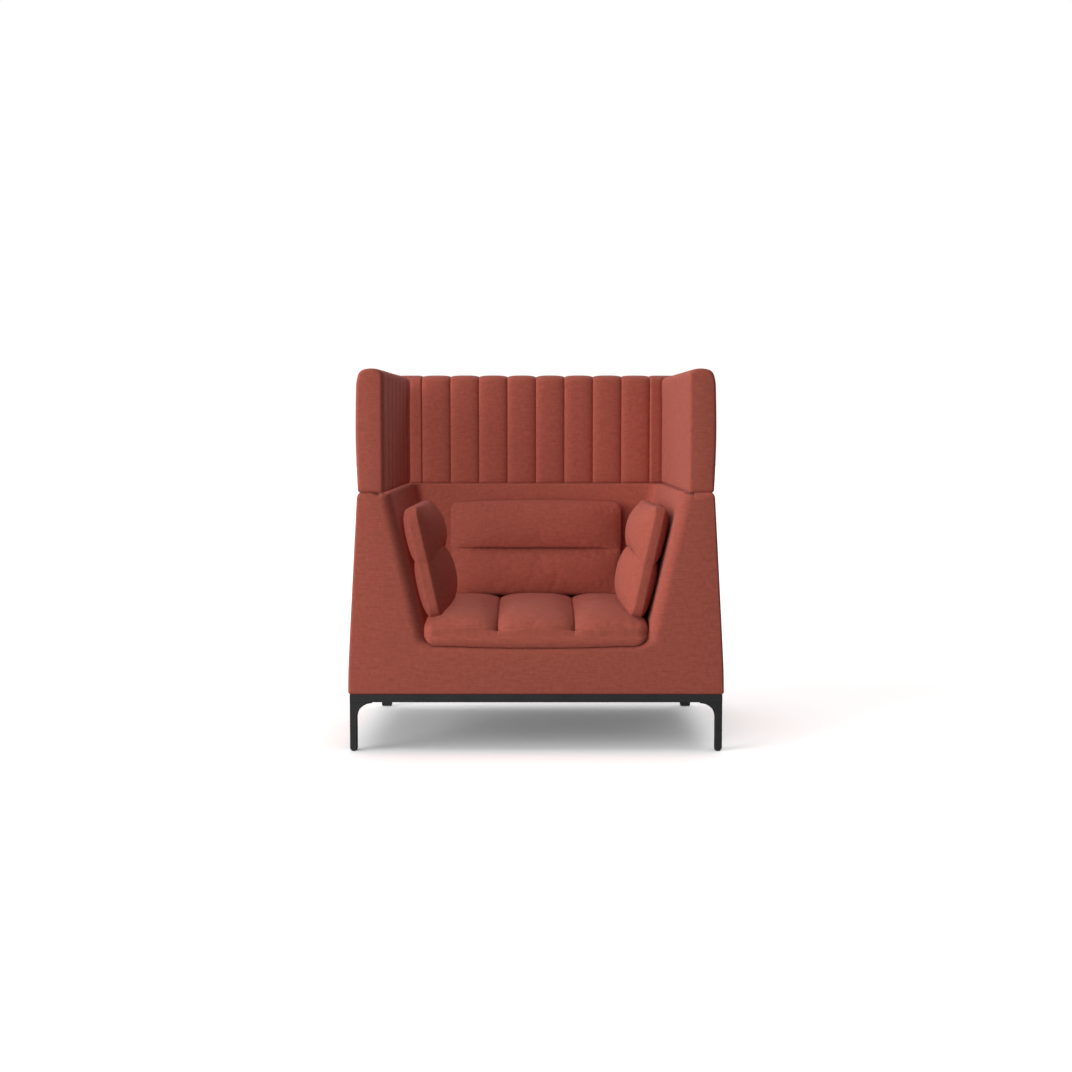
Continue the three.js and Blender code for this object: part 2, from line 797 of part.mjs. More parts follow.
// Nylon glide under a leg, with the peg that holds it.
function glideSolid() {
  const long = railWidth - 2 * glideMargin;
  const wide = legWidth - glideMargin - legToeRadius;
  const signs = [[1, 1], [-1, 1], [-1, -1], [1, -1]];
  const outline = signs.flatMap(([x, y], i) =>
    arc(
      x * (wide / 2 - glideCorner),
      y * (long / 2 - glideCorner),
      glideCorner,
      i * quarterTurn,
      (i + 1) * quarterTurn,
      edgeSteps,
    ),
  );
  const pad = prismAlongZ(outline, 0, glideThickness);
  const pegTop = glideThickness + glidePegLength;
  return pad.add(uprightCylinder(glidePegRadius, 0, 0, glideThickness / 2, pegTop));
}

// Socket head bolt in its own frame: it points along +z, its head's face on z = 0.
function boltSolid(radius, headRadius, headHeight, length) {
  const profile = [
    [0, -headHeight],
    [headRadius, -headHeight],
    [headRadius, 0],
    [radius, 0],
    [radius, length],
    [0, length],
  ].map(([x, y]) => new Vector2(x, y));
  const bolt = new THREE.LatheGeometry(profile, boltSides).rotateX(quarterTurn);
  const hex = new THREE.CylinderGeometry(
    headRadius * socketRadiusShare,
    headRadius * socketRadiusShare,
    2 * headHeight * socketDepthShare,
    socketSides,
  );
  return toSolid(bolt).subtract(toSolid(hex.rotateX(quarterTurn).translate(0, 0, -headHeight)));
}

// Plan of the screen core, open at the front, grown on all sides.
function coreSolid(grow) {
  const z0 = seamHeight + fitGap - (grow > 0 ? cutOverrun : 0);
  const z1 = coreTop + grow;
  const layer = (inset, radius, front) =>
    loft(
      [z0, z1].map((z) =>
        planRing({
          half: screenHalfWidth - inset,
          front,
          rear: rearY - inset,
          frontRadius: boardCorner,
          rearRadius: radius,
          z,
        }),
      ),
      fromAbove,
    );
  const front = frontY + coreFrontSetback - grow;
  const outer = layer(coreInset - grow, coreCornerRadius + grow, front);
  const inner = layer(
    coreInset + coreThickness + grow,
    coreCornerRadius - coreThickness - grow,
    frontY - cutOverrun,
  );
  const opened = block(-farX, farX, frontY - 2 * cutOverrun, front, z0, z1);
  return outer.subtract(inner).subtract(opened);
}

// Stations along the screen's wall, from the middle of the back to the right wing's front edge.
function screenStations() {
  const wingEdge = (y) => screenHalfWidth - planTaper * (y - frontY);
  const innerEdge = (y) => wingEdge(y) - screenThickness;
  const innerTurn = new Vector2(
    innerEdge(screenBackInner - screenInnerRadius) - screenInnerRadius,
    screenBackInner - screenInnerRadius,
  );
  const outerTurn = new Vector2(
    wingEdge(rearY - rearCornerRadius) - rearCornerRadius,
    rearY - rearCornerRadius,
  );
  const bend = screenInnerRadius * quarterTurn;
  const wingEnd = frontY + wingRollRadius;
  const wingLength = innerTurn.y - wingEnd;
  const backPitch = (innerTurn.x - cornerLeadLength) / backChannels;
  const bounds = Array.from({ length: backChannels + 1 }, (_, i) => i * backPitch);
  bounds.push(innerTurn.x + bend + cornerTailLength);
  const wingPitch = (innerTurn.x + bend + wingLength - bounds.at(-1)) / wingChannels;
  for (let i = 0; i < wingChannels; i++) bounds.push(bounds.at(-1) + wingPitch);

  const stationAt = (s) => {
    if (s < innerTurn.x) {
      const share = s / innerTurn.x;
      return [new Vector2(s, screenBackInner), new Vector2(share * outerTurn.x, rearY)];
    }
    if (s < innerTurn.x + bend) {
      const angle = quarterTurn - (s - innerTurn.x) / screenInnerRadius;
      const out = new Vector2(Math.cos(angle), Math.sin(angle));
      return [
        innerTurn.clone().addScaledVector(out, screenInnerRadius),
        outerTurn.clone().addScaledVector(out, rearCornerRadius),
      ];
    }
    const share = Math.min((s - innerTurn.x - bend) / wingLength, 1);
    const innerY = innerTurn.y + share * (wingEnd - innerTurn.y);
    const outerY = outerTurn.y + share * (wingEnd - outerTurn.y);
    return [new Vector2(innerEdge(innerY), innerY), new Vector2(wingEdge(outerY), outerY)];
  };

  const stations = [];
  for (let c = 0; c + 1 < bounds.length; c++) {
    for (let i = 0; i < channelSteps; i++) {
      const t = (2 * i) / channelSteps - 1;
      const [inner, outer] = stationAt(bounds[c] + ((t + 1) / 2) * (bounds[c + 1] - bounds[c]));
      const swell = channelSwellHeight * (1 - Math.abs(t) ** swellPower);
      stations.push({ inner, outer, swell, dip: channelSwellHeight - swell, shrink: 0 });
    }
  }
  for (let i = 0; i <= rollSteps; i++) {
    const angle = (quarterTurn * i) / rollSteps;
    const y = wingEnd - wingRollRadius * Math.sin(angle);
    const shrink = wingRollRadius * (1 - Math.cos(angle));
    stations.push({
      inner: new Vector2(innerEdge(y), y),
      outer: new Vector2(wingEdge(y), y),
      swell: 0,
      dip: 0,
      shrink,
    });
  }
  return stations;
}

// Section of the screen's wall at one station.
function screenSection({ inner, outer, swell, dip, shrink }) {
  const thick = inner.distanceTo(outer);
  const foot = seamHeight + fitGap;
  const tall = screenTop - foot;
  return screenSectionShares.map(([across, up, swellShare, dipShare]) => {
    const shareAcross = 0.5 + (across - 0.5) * (1 - (2 * shrink) / thick);
    const shareUp = 0.5 + (up - 0.5) * (1 - (2 * shrink) / tall);
    const plan = outer.clone().lerp(inner, shareAcross + (swellShare * swell) / thick);
    return new Vector3(plan.x, plan.y, foot + shareUp * tall - dipShare * dip);
  });
}

// Foam and fabric of the screen, with the slot for its core and the brackets' pockets.
function screenUpholstery() {
  const right = screenStations();
  const left = right.slice(1).reverse();
  const sections = [
    ...left.map((station) =>
      screenSection(station).map((p) => new Vector3(-p.x, p.y, p.z)),
    ),
    ...right.map(screenSection),
  ];
  const wall = loft(sections, fromFront);
  return cutAll(wall.subtract(coreSolid(fitGap)), bracketPockets());
}

// Closed skin between a top and a bottom grid of points.
function gridSolid(top, bottom) {
  const [rows, columns] = [top.length, top[0].length];
  const points = [top, bottom].flatMap((grid) => grid.flat().flatMap((p) => p.toArray()));
  const at = (grid, r, c) => grid * rows * columns + r * columns + c;
  const triangles = [];
  for (let r = 0; r + 1 < rows; r++) {
    for (let c = 0; c + 1 < columns; c++) {
      for (const grid of [0, 1]) {
        const [low, high] = [r, r + 1].map((row) => [at(grid, row, c), at(grid, row, c + 1)]);
        const quad = [low[0], low[1], high[1], high[0]];
        const turned = 2 * c + 1 < columns ? quad : [...quad.slice(1), quad[0]];
        const [k, l, m, n] = grid === 0 ? turned : turned.reverse();
        const halves = grid === 0 ? [k, l, m, k, m, n] : [l, m, n, l, n, k];
        triangles.push(...halves);
      }
    }
  }
  const rim = [];
  for (let c = 0; c + 1 < columns; c++) rim.push([0, c]);
  for (let r = 0; r + 1 < rows; r++) rim.push([r, columns - 1]);
  for (let c = columns - 1; c > 0; c--) rim.push([rows - 1, c]);
  for (let r = rows - 1; r > 0; r--) rim.push([r, 0]);
  rim.forEach(([r, c], i) => {
    const [r2, c2] = rim[(i + 1) % rim.length];
    triangles.push(at(0, r, c), at(1, r, c), at(1, r2, c2));
    triangles.push(at(0, r, c), at(1, r2, c2), at(0, r2, c2));
  });
  const geometry = new THREE.BufferGeometry();
  geometry.setAttribute("position", new THREE.Float32BufferAttribute(points, 3));
  geometry.setIndex(triangles);
  return geometry;
}

// A rounded crown: one in the middle, zero at shares -1 and 1.
const crown = (share, power) => Math.max(0, 1 - Math.abs(share) ** power) ** (1 / power);

// The seat cushion's block: its crowned top, raised by an amount, over straight sides.
function seatBlock(raise) {
  const back = floorBack + wallSpread(seatBorderTop, 0);
  const middle = (seatFront + back) / 2;
  const halfDepth = (back - seatFront) / 2;
  const lines = [-seatHalfWidth, ...seatGrooves, seatHalfWidth];
  const across = lines.slice(0, -1).flatMap((start, i) =>
    seatLineShares.map((share) => ({
      x: start + ((share + 1) / 2) * (lines[i + 1] - start),
      dip: seatDip(share, i, lines.length - 2),
    })),
  );
  across.push({ x: seatHalfWidth, dip: 0 });
  const top = seatRowShares.map((row) =>
    across.map(({ x, dip }) => {
      const power = row < 0 ? seatRollPower : seatBackPower;
      const swell = crown(x / seatHalfWidth, seatRollPower) * crown(row, power);
      const z = seatBorderTop + raise + swell * (seatCrownHeight - dip * seatGrooveDepth);
      return new Vector3(x, middle + row * halfDepth, z);
    }),
  );
  const bottom = top.map((row) => row.map((p) => new Vector3(p.x, p.y, seatFloor - cutOverrun)));
  return toSolid(gridSolid(top, bottom));
}

// How far a point across a channel has sunk into the groove beside it.
function seatDip(share, channel, lastChannel) {
  const outerEdge = (channel === 0 && share < 0) || (channel === lastChannel && share > 0);
  return outerEdge ? 0 : Math.abs(share) ** groovePower;
}

function seatCushionSolid() {
  return seatBlock(0).intersect(basin(-fitGap));
}

// Loose cushion in its own frame: length along x, height along y, its inner face towards +z.
function looseCushion(c) {
  const grids = [c.innerCrown, -c.outerCrown].map((rise) =>
    heightShares.map((v) =>
      lengthShares.map((u) => {
        const narrow = c.drawIn * (1 - Math.abs(v)) ** pinchPower;
        const flat = roundedPlan(u * (c.halfLength - narrow), v * c.halfHeight, c);
        const dip = Math.max(0, 1 - 2 * Math.abs(v)) ** groovePower;
        const groove = dip * c.grooveDepth * Math.sign(rise);
        const swell = crown(u, crownPower) * crown(v, crownPower);
        const z = Math.sign(rise) * (c.border / 2) + swell * (rise - groove);
        return new Vector3(flat.x, flat.y, z);
      }),
    ),
  );
  return gridSolid(grids[0], grids[1]);
}

// Moves a point of a rectangle so that the rectangle's corners become round.
function roundedPlan(x, y, { halfLength, halfHeight, corner }) {
  const over = new Vector2(
    Math.abs(x) - (halfLength - corner),
    Math.abs(y) - (halfHeight - corner),
  );
  if (over.x <= 0 || over.y <= 0) return new Vector2(x, y);
  const pull = Math.max(over.x, over.y) / over.length();
  return new Vector2(
    Math.sign(x) * (halfLength - corner + over.x * pull),
    Math.sign(y) * (halfHeight - corner + over.y * pull),
  );
}

// Height of a leaning cushion's middle, and half of its height along the lean.
function cushionHeights(topMargin, footHeight, lean) {
  const top = seamHeight - topMargin;
  const foot = seatBorderTop + footHeight;
  return { middle: (top + foot) / 2, halfHeight: (top - foot) / (2 * Math.cos(lean)) };
}

// A cushion's solid at its place, clear of the basin's walls and of the seat cushion.
function settled(cushion, place) {
  return toSolid(looseCushion(cushion).applyMatrix4(place))
    .intersect(basin(-fitGap))
    .subtract(seatBlock(fitGap));
}

// Right side cushion: it leans on the arm and stands on the seat cushion.
function sideCushionSolid() {
  const { middle, halfHeight } = cushionHeights(sideTopMargin, sideFootHeight, sideLeanBack);
  const front = frontY + sideFrontSetback;
  const rear = floorBack - sideRearGap;
  const y = (front + rear) / 2;
  const x = floorHalfWidth - planTaper * (y - frontY) + wallSpread(middle, -sideStandOff);
  const up = new Vector3(Math.sin(sideLeanBack), 0, Math.cos(sideLeanBack));
  const inwards = new Vector3(-Math.cos(sideLeanBack), 0, Math.sin(sideLeanBack));
  const along = new Vector3().crossVectors(up, inwards);
  const place = new Matrix4()
    .makeRotationZ(taperAngle)
    .multiply(new Matrix4().makeBasis(along, up, inwards))
    .setPosition(new Vector3(x, y, middle));
  const cushion = {
    halfLength: (rear - front) / 2,
    halfHeight,
    border: sideBorderThickness,
    innerCrown: sideInnerCrownHeight,
    outerCrown: sideOuterCrownHeight,
    grooveDepth: sideGrooveDepth,
    drawIn: sideDrawInDepth,
    corner: sideCornerRadius,
  };
  return settled(cushion, place);
}

// Back cushion: it leans on the tub's back and stands on the seat cushion.
function backCushionSolid() {
  const { middle, halfHeight } = cushionHeights(backTopMargin, backFootHeight, wallSlant);
  const y = floorBack + wallSpread(middle, -backStandOff);
  const up = new Vector3(0, Math.sin(wallSlant), Math.cos(wallSlant));
  const forwards = new Vector3(0, -Math.cos(wallSlant), Math.sin(wallSlant));
  const along = new Vector3().crossVectors(up, forwards);
  const place = new Matrix4()
    .makeBasis(along, up, forwards)
    .setPosition(new Vector3(0, y, middle));
  const cushion = {
    halfLength: floorHalfWidth - backSideGap,
    halfHeight,
    border: backBorderThickness,
    innerCrown: backInnerCrownHeight,
    outerCrown: backOuterCrownHeight,
    grooveDepth: backGrooveDepth,
    drawIn: backDrawInDepth,
    corner: backCornerRadius,
  };
  return settled(cushion, place);
}

// Assembly
const chair = new THREE.Group();
chair.name = "acoustic_high_back_lounge_chair";

const swapSide = (name) => name.replace("right", "left");

function add(name, solid, material) {
  const mesh = toMesh(name, solid, material);
  chair.add(mesh);
  return mesh;
}

function addPair(name, solid, material) {
  chair.add(mirrored(add(name, solid, material), swapSide));
}

function addBase() {
  add("base_front_rail", crossRail(baseFront, baseInnerFront), blackSteel);
  add("base_back_rail", crossRail(baseRear, baseInnerRear), blackSteel);
  addPair("base_side_rail_right", sideRail(), blackSteel);
  const corners = [
    { end: "front", turn: 0, x: baseEdge(baseFront), y: baseFront },
    {
      end: "back",
      turn: quarterTurn + taperAngle,
      x: baseEdge(baseRear),
      y: baseRear - railWidth * planTaper,
    },
  ];
  for (const { end, turn, x, y } of corners) {
    const corner = new THREE.Group();
    corner.position.set(x, y, 0);
    corner.rotation.z = turn;
    const glide = toMesh(`glide_${end}_right`, glideSolid(), nylon);
    glide.position.set(-legWidth / 2, railWidth / 2, 0);
    corner.add(toMesh(`leg_${end}_right`, legSolid(), blackSteel), glide);
    chair.add(corner, mirrored(corner, swapSide));
    addBaseBolt(end);
  }
}

function addBaseBolt(end) {
  const solid = boltSolid(baseBoltRadius, baseBoltHeadRadius, baseBoltHeadHeight, baseBoltLength);
  const bolt = toMesh(`base_bolt_${end}_right`, solid, zincSteel);
  const { x, y } = baseBoltPlace(end);
  bolt.position.set(x, y, railTop - cornerPlateThickness - fitGap);
  chair.add(bolt, mirrored(bolt, swapSide));
}

// Beech block in a corner of the tub's bottom, which the base bolt screws into.
function cornerBlock(end) {
  const { x, y } = baseBoltPlace(end);
  const z0 = tubBottom + fitGap + dustCoverThickness + fitGap;
  const z1 = z0 + blockHeight;
  const y0 = end === "front" ? frameFront : frameBack - blockSide;
  const y1 = y0 + blockSide;
  const room = tubCore(panelInner + fitGap, z0 - cutOverrun, z1 + cutOverrun);
  const piece = block(x - blockSide / 2, farX, y0, y1, z0, z1).intersect(room);
  return piece.subtract(uprightCylinder(baseBoltRadius + boltHoleClearance, x, y, 0, z1));
}

function dustCover() {
  const z0 = tubBottom + fitGap;
  const z1 = z0 + dustCoverThickness;
  const between = block(-farX, farX, frameFront, frameBack, z0, z1);
  const sheet = tubCore(panelInner + fitGap, z0, z1).intersect(between);
  const holes = ["front", "back"].flatMap((end) => {
    const { x, y } = baseBoltPlace(end);
    const radius = baseBoltRadius + boltHoleClearance;
    return [x, -x].map((side) => uprightCylinder(radius, side, y, 0, seatFloor));
  });
  return cutAll(sheet, holes);
}

function addFrame() {
  const holes = bracketBoltHoles();
  add("front_frame_board", frontFrameBoard(), plywood);
  add("back_panel", backPanel(), plywood);
  addPair("side_panel_right", sidePanel(), plywood);
  addPair("arm_inner_panel_right", armInnerPanel(), plywood);
  add("back_inner_panel", backInnerPanel(), plywood);
  addPair("seat_side_rail_right", seatSideRail(), beech);
  add("seat_back_rail", seatBackRail(), beech);
  addPair("arm_top_rail_right", cutAll(armTopRail(), holes), beech);
  add("back_top_rail", cutAll(backTopRail(), holes), beech);
  addPair("corner_block_front_right", cornerBlock("front"), beech);
  addPair("corner_block_back_right", cornerBlock("back"), beech);
  add("dust_cover", dustCover(), blackCloth);
}

function addSuspension() {
  const half = wellHalfWidth - strapMargin;
  const top = deckTop + fitGap + strapThickness;
  const pitch = (wellBack - wellFront) / strapCount;
  for (let i = 0; i < strapCount; i++) {
    const [y0, y1] = [-strapWidth / 2, strapWidth / 2].map((y) => wellFront + y + (i + 0.5) * pitch);
    add(`webbing_strap_${i + 1}`, block(-half, half, y0, y1, deckTop + fitGap, top), webbing);
  }
  const pad = block(
    -half,
    half,
    wellFront + strapMargin,
    wellBack - strapMargin,
    top + fitGap,
    seatFloor,
  );
  add("deck_pad", pad, blackCloth);
}

function addScreen() {
  add("screen_upholstery", screenUpholstery(), fabric);
  add("screen_core", cutAll(coreSolid(0), bracketBoltHoles()), plywood);
  const bar = toSolid(
    new THREE.BoxGeometry(bracketThickness, bracketWidth, 2 * bracketReach).translate(
      -fitGap - bracketThickness / 2,
      0,
      0,
    ),
  );
  const radius = bracketBoltRadius + boltHoleClearance;
  const drilled = cutAll(
    bar,
    [-bracketBoltReach, bracketBoltReach].map((z) => {
      const long = bracketThickness + cutOverrun;
      const hole = new THREE.CylinderGeometry(radius, radius, long, boltSides);
      return toSolid(hole.rotateZ(quarterTurn).translate(0, 0, z));
    }),
  );
  const bolt = boltSolid(
    bracketBoltRadius,
    bracketBoltHeadRadius,
    bracketBoltHeadHeight,
    bracketBoltLength,
  );
  for (const { name, position, turn } of bracketPlaces()) {
    const group = new THREE.Group();
    group.position.copy(position);
    group.rotation.z = turn;
    group.add(toMesh(`screen_bracket_${name}_right`, drilled, zincSteel));
    for (const [level, z] of [["upper", bracketBoltReach], ["lower", -bracketBoltReach]]) {
      const screw = toMesh(`screen_bolt_${name}_${level}_right`, bolt, zincSteel);
      screw.rotation.y = quarterTurn;
      screw.position.set(-bracketThickness - 2 * fitGap, 0, z);
      group.add(screw);
    }
    chair.add(group, mirrored(group, swapSide));
  }
}

function addCushions() {
  add("seat_cushion", seatCushionSolid(), fabric);
  add("back_cushion", backCushionSolid(), fabric);
  addPair("side_cushion_right", sideCushionSolid(), fabric);
}

addBase();
add("tub_upholstery", tubUpholstery(), fabric);
addFrame();
addSuspension();
addScreen();
addCushions();

export default chair;
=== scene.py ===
# %% [markdown]
# # An acoustic high back lounge chair
#
# The chair has an upholstered tub on a low steel base, a channelled screen round three
# sides and four cushions. The plain solids come from an engineering model. This lesson keeps
# the rigid ones and sews new covers over the soft ones, each a grid of points worked out
# from a formula, as a pattern cutter would work out a piece of cloth.

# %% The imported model
import json
import math

import bmesh
import bpy
import numpy as np
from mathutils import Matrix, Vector


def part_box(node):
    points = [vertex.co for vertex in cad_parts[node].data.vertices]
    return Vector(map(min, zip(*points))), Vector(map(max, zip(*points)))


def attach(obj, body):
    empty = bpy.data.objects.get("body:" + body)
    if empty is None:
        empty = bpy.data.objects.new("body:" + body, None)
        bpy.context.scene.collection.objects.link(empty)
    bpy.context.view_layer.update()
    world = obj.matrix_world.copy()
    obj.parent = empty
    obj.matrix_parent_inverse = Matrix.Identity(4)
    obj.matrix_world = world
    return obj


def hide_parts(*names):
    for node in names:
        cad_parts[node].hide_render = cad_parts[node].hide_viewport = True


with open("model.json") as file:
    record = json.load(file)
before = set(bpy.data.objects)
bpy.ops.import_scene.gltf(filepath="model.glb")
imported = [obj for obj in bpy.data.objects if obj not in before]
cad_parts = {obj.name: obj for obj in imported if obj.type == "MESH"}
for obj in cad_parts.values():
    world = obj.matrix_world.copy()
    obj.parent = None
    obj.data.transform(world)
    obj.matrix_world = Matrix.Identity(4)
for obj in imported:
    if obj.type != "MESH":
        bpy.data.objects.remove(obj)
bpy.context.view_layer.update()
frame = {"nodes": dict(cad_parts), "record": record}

nodes = frame["nodes"]
mm = 0.001
print("nodes in the frame:", len(nodes))

# %% [markdown]
# ## The chair's main sizes
#
# Every cover has to lie on the solid it dresses, so the sizes of the tub are written down
# once, in metres, with the floor at z = 0 and the chair's front towards -Y.

# %% Sizes
chair_front, chair_rear = -0.410, 0.410
side_turn = math.radians(1.8)
side_taper = math.tan(side_turn)
tub_bottom, seam_height = 0.1897, 0.855
tub_half_width, knee_rise, knee_round = 0.621, 0.062, 0.060
side_lean = math.tan(math.radians(3.43))
seat_floor, floor_half, floor_back = 0.3436, 0.360, 0.196
wall_run = 0.118
wall_slant = math.atan(wall_run / (seam_height - seat_floor))
cove_radius, edge_roll, ledge_roll = 0.050, 0.009, 0.010
cove_reach = cove_radius * math.tan((math.pi / 2 - wall_slant) / 2)
print("wall slant:", round(math.degrees(wall_slant), 2), "degrees")

# %% [markdown]
# ## Helpers: shares, profiles and displacement
#
# Cloth bends most at its seams, so the points of a grid stand closer together there. A grid
# is moved along its own normals to swell a panel or to pull a seam in.


# %% Helpers for grids
def toward_ends(count, pull=0.5):
    """Shares from 0 to 1, closer at both ends: k mixed with (1 - cos(pi k)) / 2 by pull."""
    k = np.linspace(0, 1, count)
    return (1 - pull) * k + pull * (1 - np.cos(np.pi * k)) / 2


def unit(value):
    """The value, held between 0 and 1."""
    return np.clip(value, 0, 1)


def points_of(*coordinates):
    """Points from their coordinates, which are first spread to one shape."""
    return np.stack(np.broadcast_arrays(*coordinates), axis=-1)


def quarter(count):
    """Evenly spaced angles of a quarter turn."""
    return np.linspace(0, math.pi / 2, count)


def grid_normals(points):
    """Unit normals of a grid: the cross product of its steps along columns and rows."""
    across, down = np.gradient(points, axis=1), np.gradient(points, axis=0)
    normal = np.cross(across, down)
    length = np.linalg.norm(normal, axis=2, keepdims=True)
    return normal / np.maximum(length, 1e-12)


def unrolled(points):
    """Cloth coordinates in metres: how far each point lies along its row and its column."""
    along = np.linalg.norm(np.diff(points, axis=1), axis=2)
    down = np.linalg.norm(np.diff(points, axis=0), axis=2)
    u = np.pad(np.cumsum(along, axis=1), ((0, 0), (1, 0)))
    v = np.pad(np.cumsum(down, axis=0), ((1, 0), (0, 0)))
    middle = points.shape[1] // 2
    return points_of(u - u[:, middle : middle + 1], v)


def mirrored_half(right):
    """A whole grid from its right half, whose last column lies on the plane x = 0."""
    left = right * np.array([-1, 1, 1])
    return np.concatenate([left, right[:, -2::-1]], axis=1)


def mirrored_rows(right):
    """A whole grid from its right half, whose first row lies on the plane x = 0."""
    mirror = np.ones(right.shape[-1])
    mirror[0] = -1
    return np.concatenate([(right * mirror)[::-1], right[1:]])


def tuck(distance, depth=2.6 * mm, width=1.6 * mm):
    """How far a seam pulls cloth in at a distance from it: depth times exp(-distance / width)."""
    return depth * np.exp(-np.abs(distance) / width)


hem = np.array([0, 0.5, 1.2, 2.2, 3.6, 5.4]) * mm

# %% [markdown]
# ## From grids to a mesh
#
# One function turns one or more grids into a piece. It also writes the cloth coordinates to
# a UV map called "cloth", in metres, so that a weave keeps its scale on every cover.


# %% Grids to mesh
def sewn(name, sheets, held=None):
    """A mesh object from grids: (points, cloth coordinates, whether its faces turn over).

    Held gives each grid's shares, 1 where stitches hold the cloth and 0 where it is free.
    """
    spots, corners, cloth = [], [], []
    base = 0
    for points, uv, turned in sheets:
        rows, columns = points.shape[:2]
        r, c = np.meshgrid(np.arange(rows - 1), np.arange(columns - 1), indexing="ij")
        r = np.stack([r, r, r + 1, r + 1], -1).reshape(-1, 4)
        c = np.stack([c, c + 1, c + 1, c], -1).reshape(-1, 4)
        if turned:
            r, c = r[:, ::-1], c[:, ::-1]
        spots.append(points.reshape(-1, 3))
        corners.append(base + r * columns + c)
        cloth.append(uv[r, c].reshape(-1, 2))
        base += rows * columns
    spots, corners, cloth = map(np.concatenate, (spots, corners, cloth))
    mesh = bpy.data.meshes.new(name)
    mesh.vertices.add(len(spots))
    mesh.vertices.foreach_set("co", spots.astype(np.float32).ravel())
    mesh.loops.add(corners.size)
    mesh.loops.foreach_set("vertex_index", corners.astype(np.int32).ravel())
    mesh.polygons.add(len(corners))
    mesh.polygons.foreach_set("loop_start", np.arange(0, corners.size, 4, dtype=np.int32))
    mesh.update(calc_edges=True)
    layer = mesh.uv_layers.new(name="cloth")
    layer.data.foreach_set("uv", cloth.astype(np.float32).ravel())
    if held is not None:
        shares = np.concatenate([share.ravel() for share in held])
        stitched = mesh.attributes.new("held", "FLOAT", "POINT")
        stitched.data.foreach_set("value", shares.astype(np.float32))
    mesh.validate()
    mesh.shade_smooth()
    piece = bpy.data.objects.new(name, mesh)
    bpy.context.scene.collection.objects.link(piece)
    close_seams(mesh)
    print(name, "faces:", len(mesh.polygons))
    return piece


def close_seams(mesh, distance=0.02 * mm):
    """Merges points that lie on each other, so that sheets and poles are closed."""
    cloth = bmesh.new()
    cloth.from_mesh(mesh)
    bmesh.ops.remove_doubles(cloth, verts=cloth.verts, dist=distance)
    bmesh.ops.dissolve_degenerate(cloth, edges=cloth.edges, dist=distance / 2)
    cloth.to_mesh(mesh)
    cloth.free()


def thicken(piece, thickness):
    """Gives a cover its cloth and foam backing, inwards."""
    wall = piece.modifiers.new("backing", "SOLIDIFY")
    wall.thickness = thickness
    wall.offset = -1


# %% [markdown]
# ## Materials
#
# The cover is a felted wool with a plain weave, coloured brick red. Its yarns differ a
# little in shade, so streaks run along warp and weft, and the dye is slightly cloudy. All
# of this is drawn by noise and sine waves on the cloth coordinates. Numbers that are the
# same everywhere stand on the shader's own sockets.


# %% Helpers for materials
class Nodes:
    """A node tree that is being put together."""

    def __init__(self, tree):
        self.tree = tree

    def set(self, node, values):
        for key, value in values.items():
            if isinstance(value, bpy.types.NodeSocket):
                self.tree.links.new(value, node.inputs[key])
            else:
                node.inputs[key].default_value = value

    def add(self, kind, values=None, out=0, **settings):
        node = self.tree.nodes.new("ShaderNode" + kind)
        for key, value in settings.items():
            setattr(node, key, value)
        self.set(node, values or {})
        return node.outputs[out]

    def math(self, operation, *values):
        return self.add("Math", dict(enumerate(values)), operation=operation)

    def total(self, *terms):
        """The sum of each value times its weight."""
        parts = [self.math("MULTIPLY", value, weight) for value, weight in terms]
        while len(parts) > 1:
            parts[:2] = [self.math("ADD", *parts[:2])]
        return parts[0]

    def remap(self, value, low, high, new_low, new_high):
        values = {0: value, 1: low, 2: high, 3: new_low, 4: new_high}
        return self.add("MapRange", values)


class Finish(Nodes):
    """A material with one Principled shader."""

    def __init__(self, name, color, roughness, **sockets):
        self.material = bpy.data.materials.new(name)
        self.material.use_nodes = True
        super().__init__(self.material.node_tree)
        self.shader = self.tree.nodes["Principled BSDF"]
        self.set(self.shader, {"Base Color": (*color, 1), "Roughness": roughness, **sockets})
        self.material.diffuse_color = (*color, 1)

    def cloth(self, scale=(1, 1, 1)):
        """Cloth coordinates, times a scale for u, v and w."""
        uv = self.add("UVMap", uv_map="cloth")
        return self.add("Mapping", {"Vector": uv, "Scale": scale})

    def place(self, scale=(1, 1, 1)):
        """Object coordinates, times a scale for x, y and z."""
        spot = self.add("TexCoord", out=3)
        return self.add("Mapping", {"Vector": spot, "Scale": scale})

    def noise(self, vector, scale, detail):
        return self.add("TexNoise", {"Vector": vector, "Scale": scale, "Detail": detail})

    def mix(self, share, first, second):
        values = {0: share, 6: (*first, 1), 7: (*second, 1)}
        return self.add("Mix", values, out=2, data_type="RGBA")

    def weave(self, turns):
        """The sine of the first coordinate times the sine of the second, both in radians."""
        first = self.add("SeparateXYZ", {"Vector": turns})
        second = first.node.outputs[1]
        return self.math("MULTIPLY", self.math("SINE", first), self.math("SINE", second))

    def bump(self, height, strength, distance):
        values = {"Height": height, "Strength": strength, "Distance": distance}
        self.set(self.shader, {"Normal": self.add("Bump", values)})

    def color(self, value):
        self.set(self.shader, {"Base Color": value})


# %% Wool cloth
yarn_pair, shade_spread = 2.2 * mm, 0.18


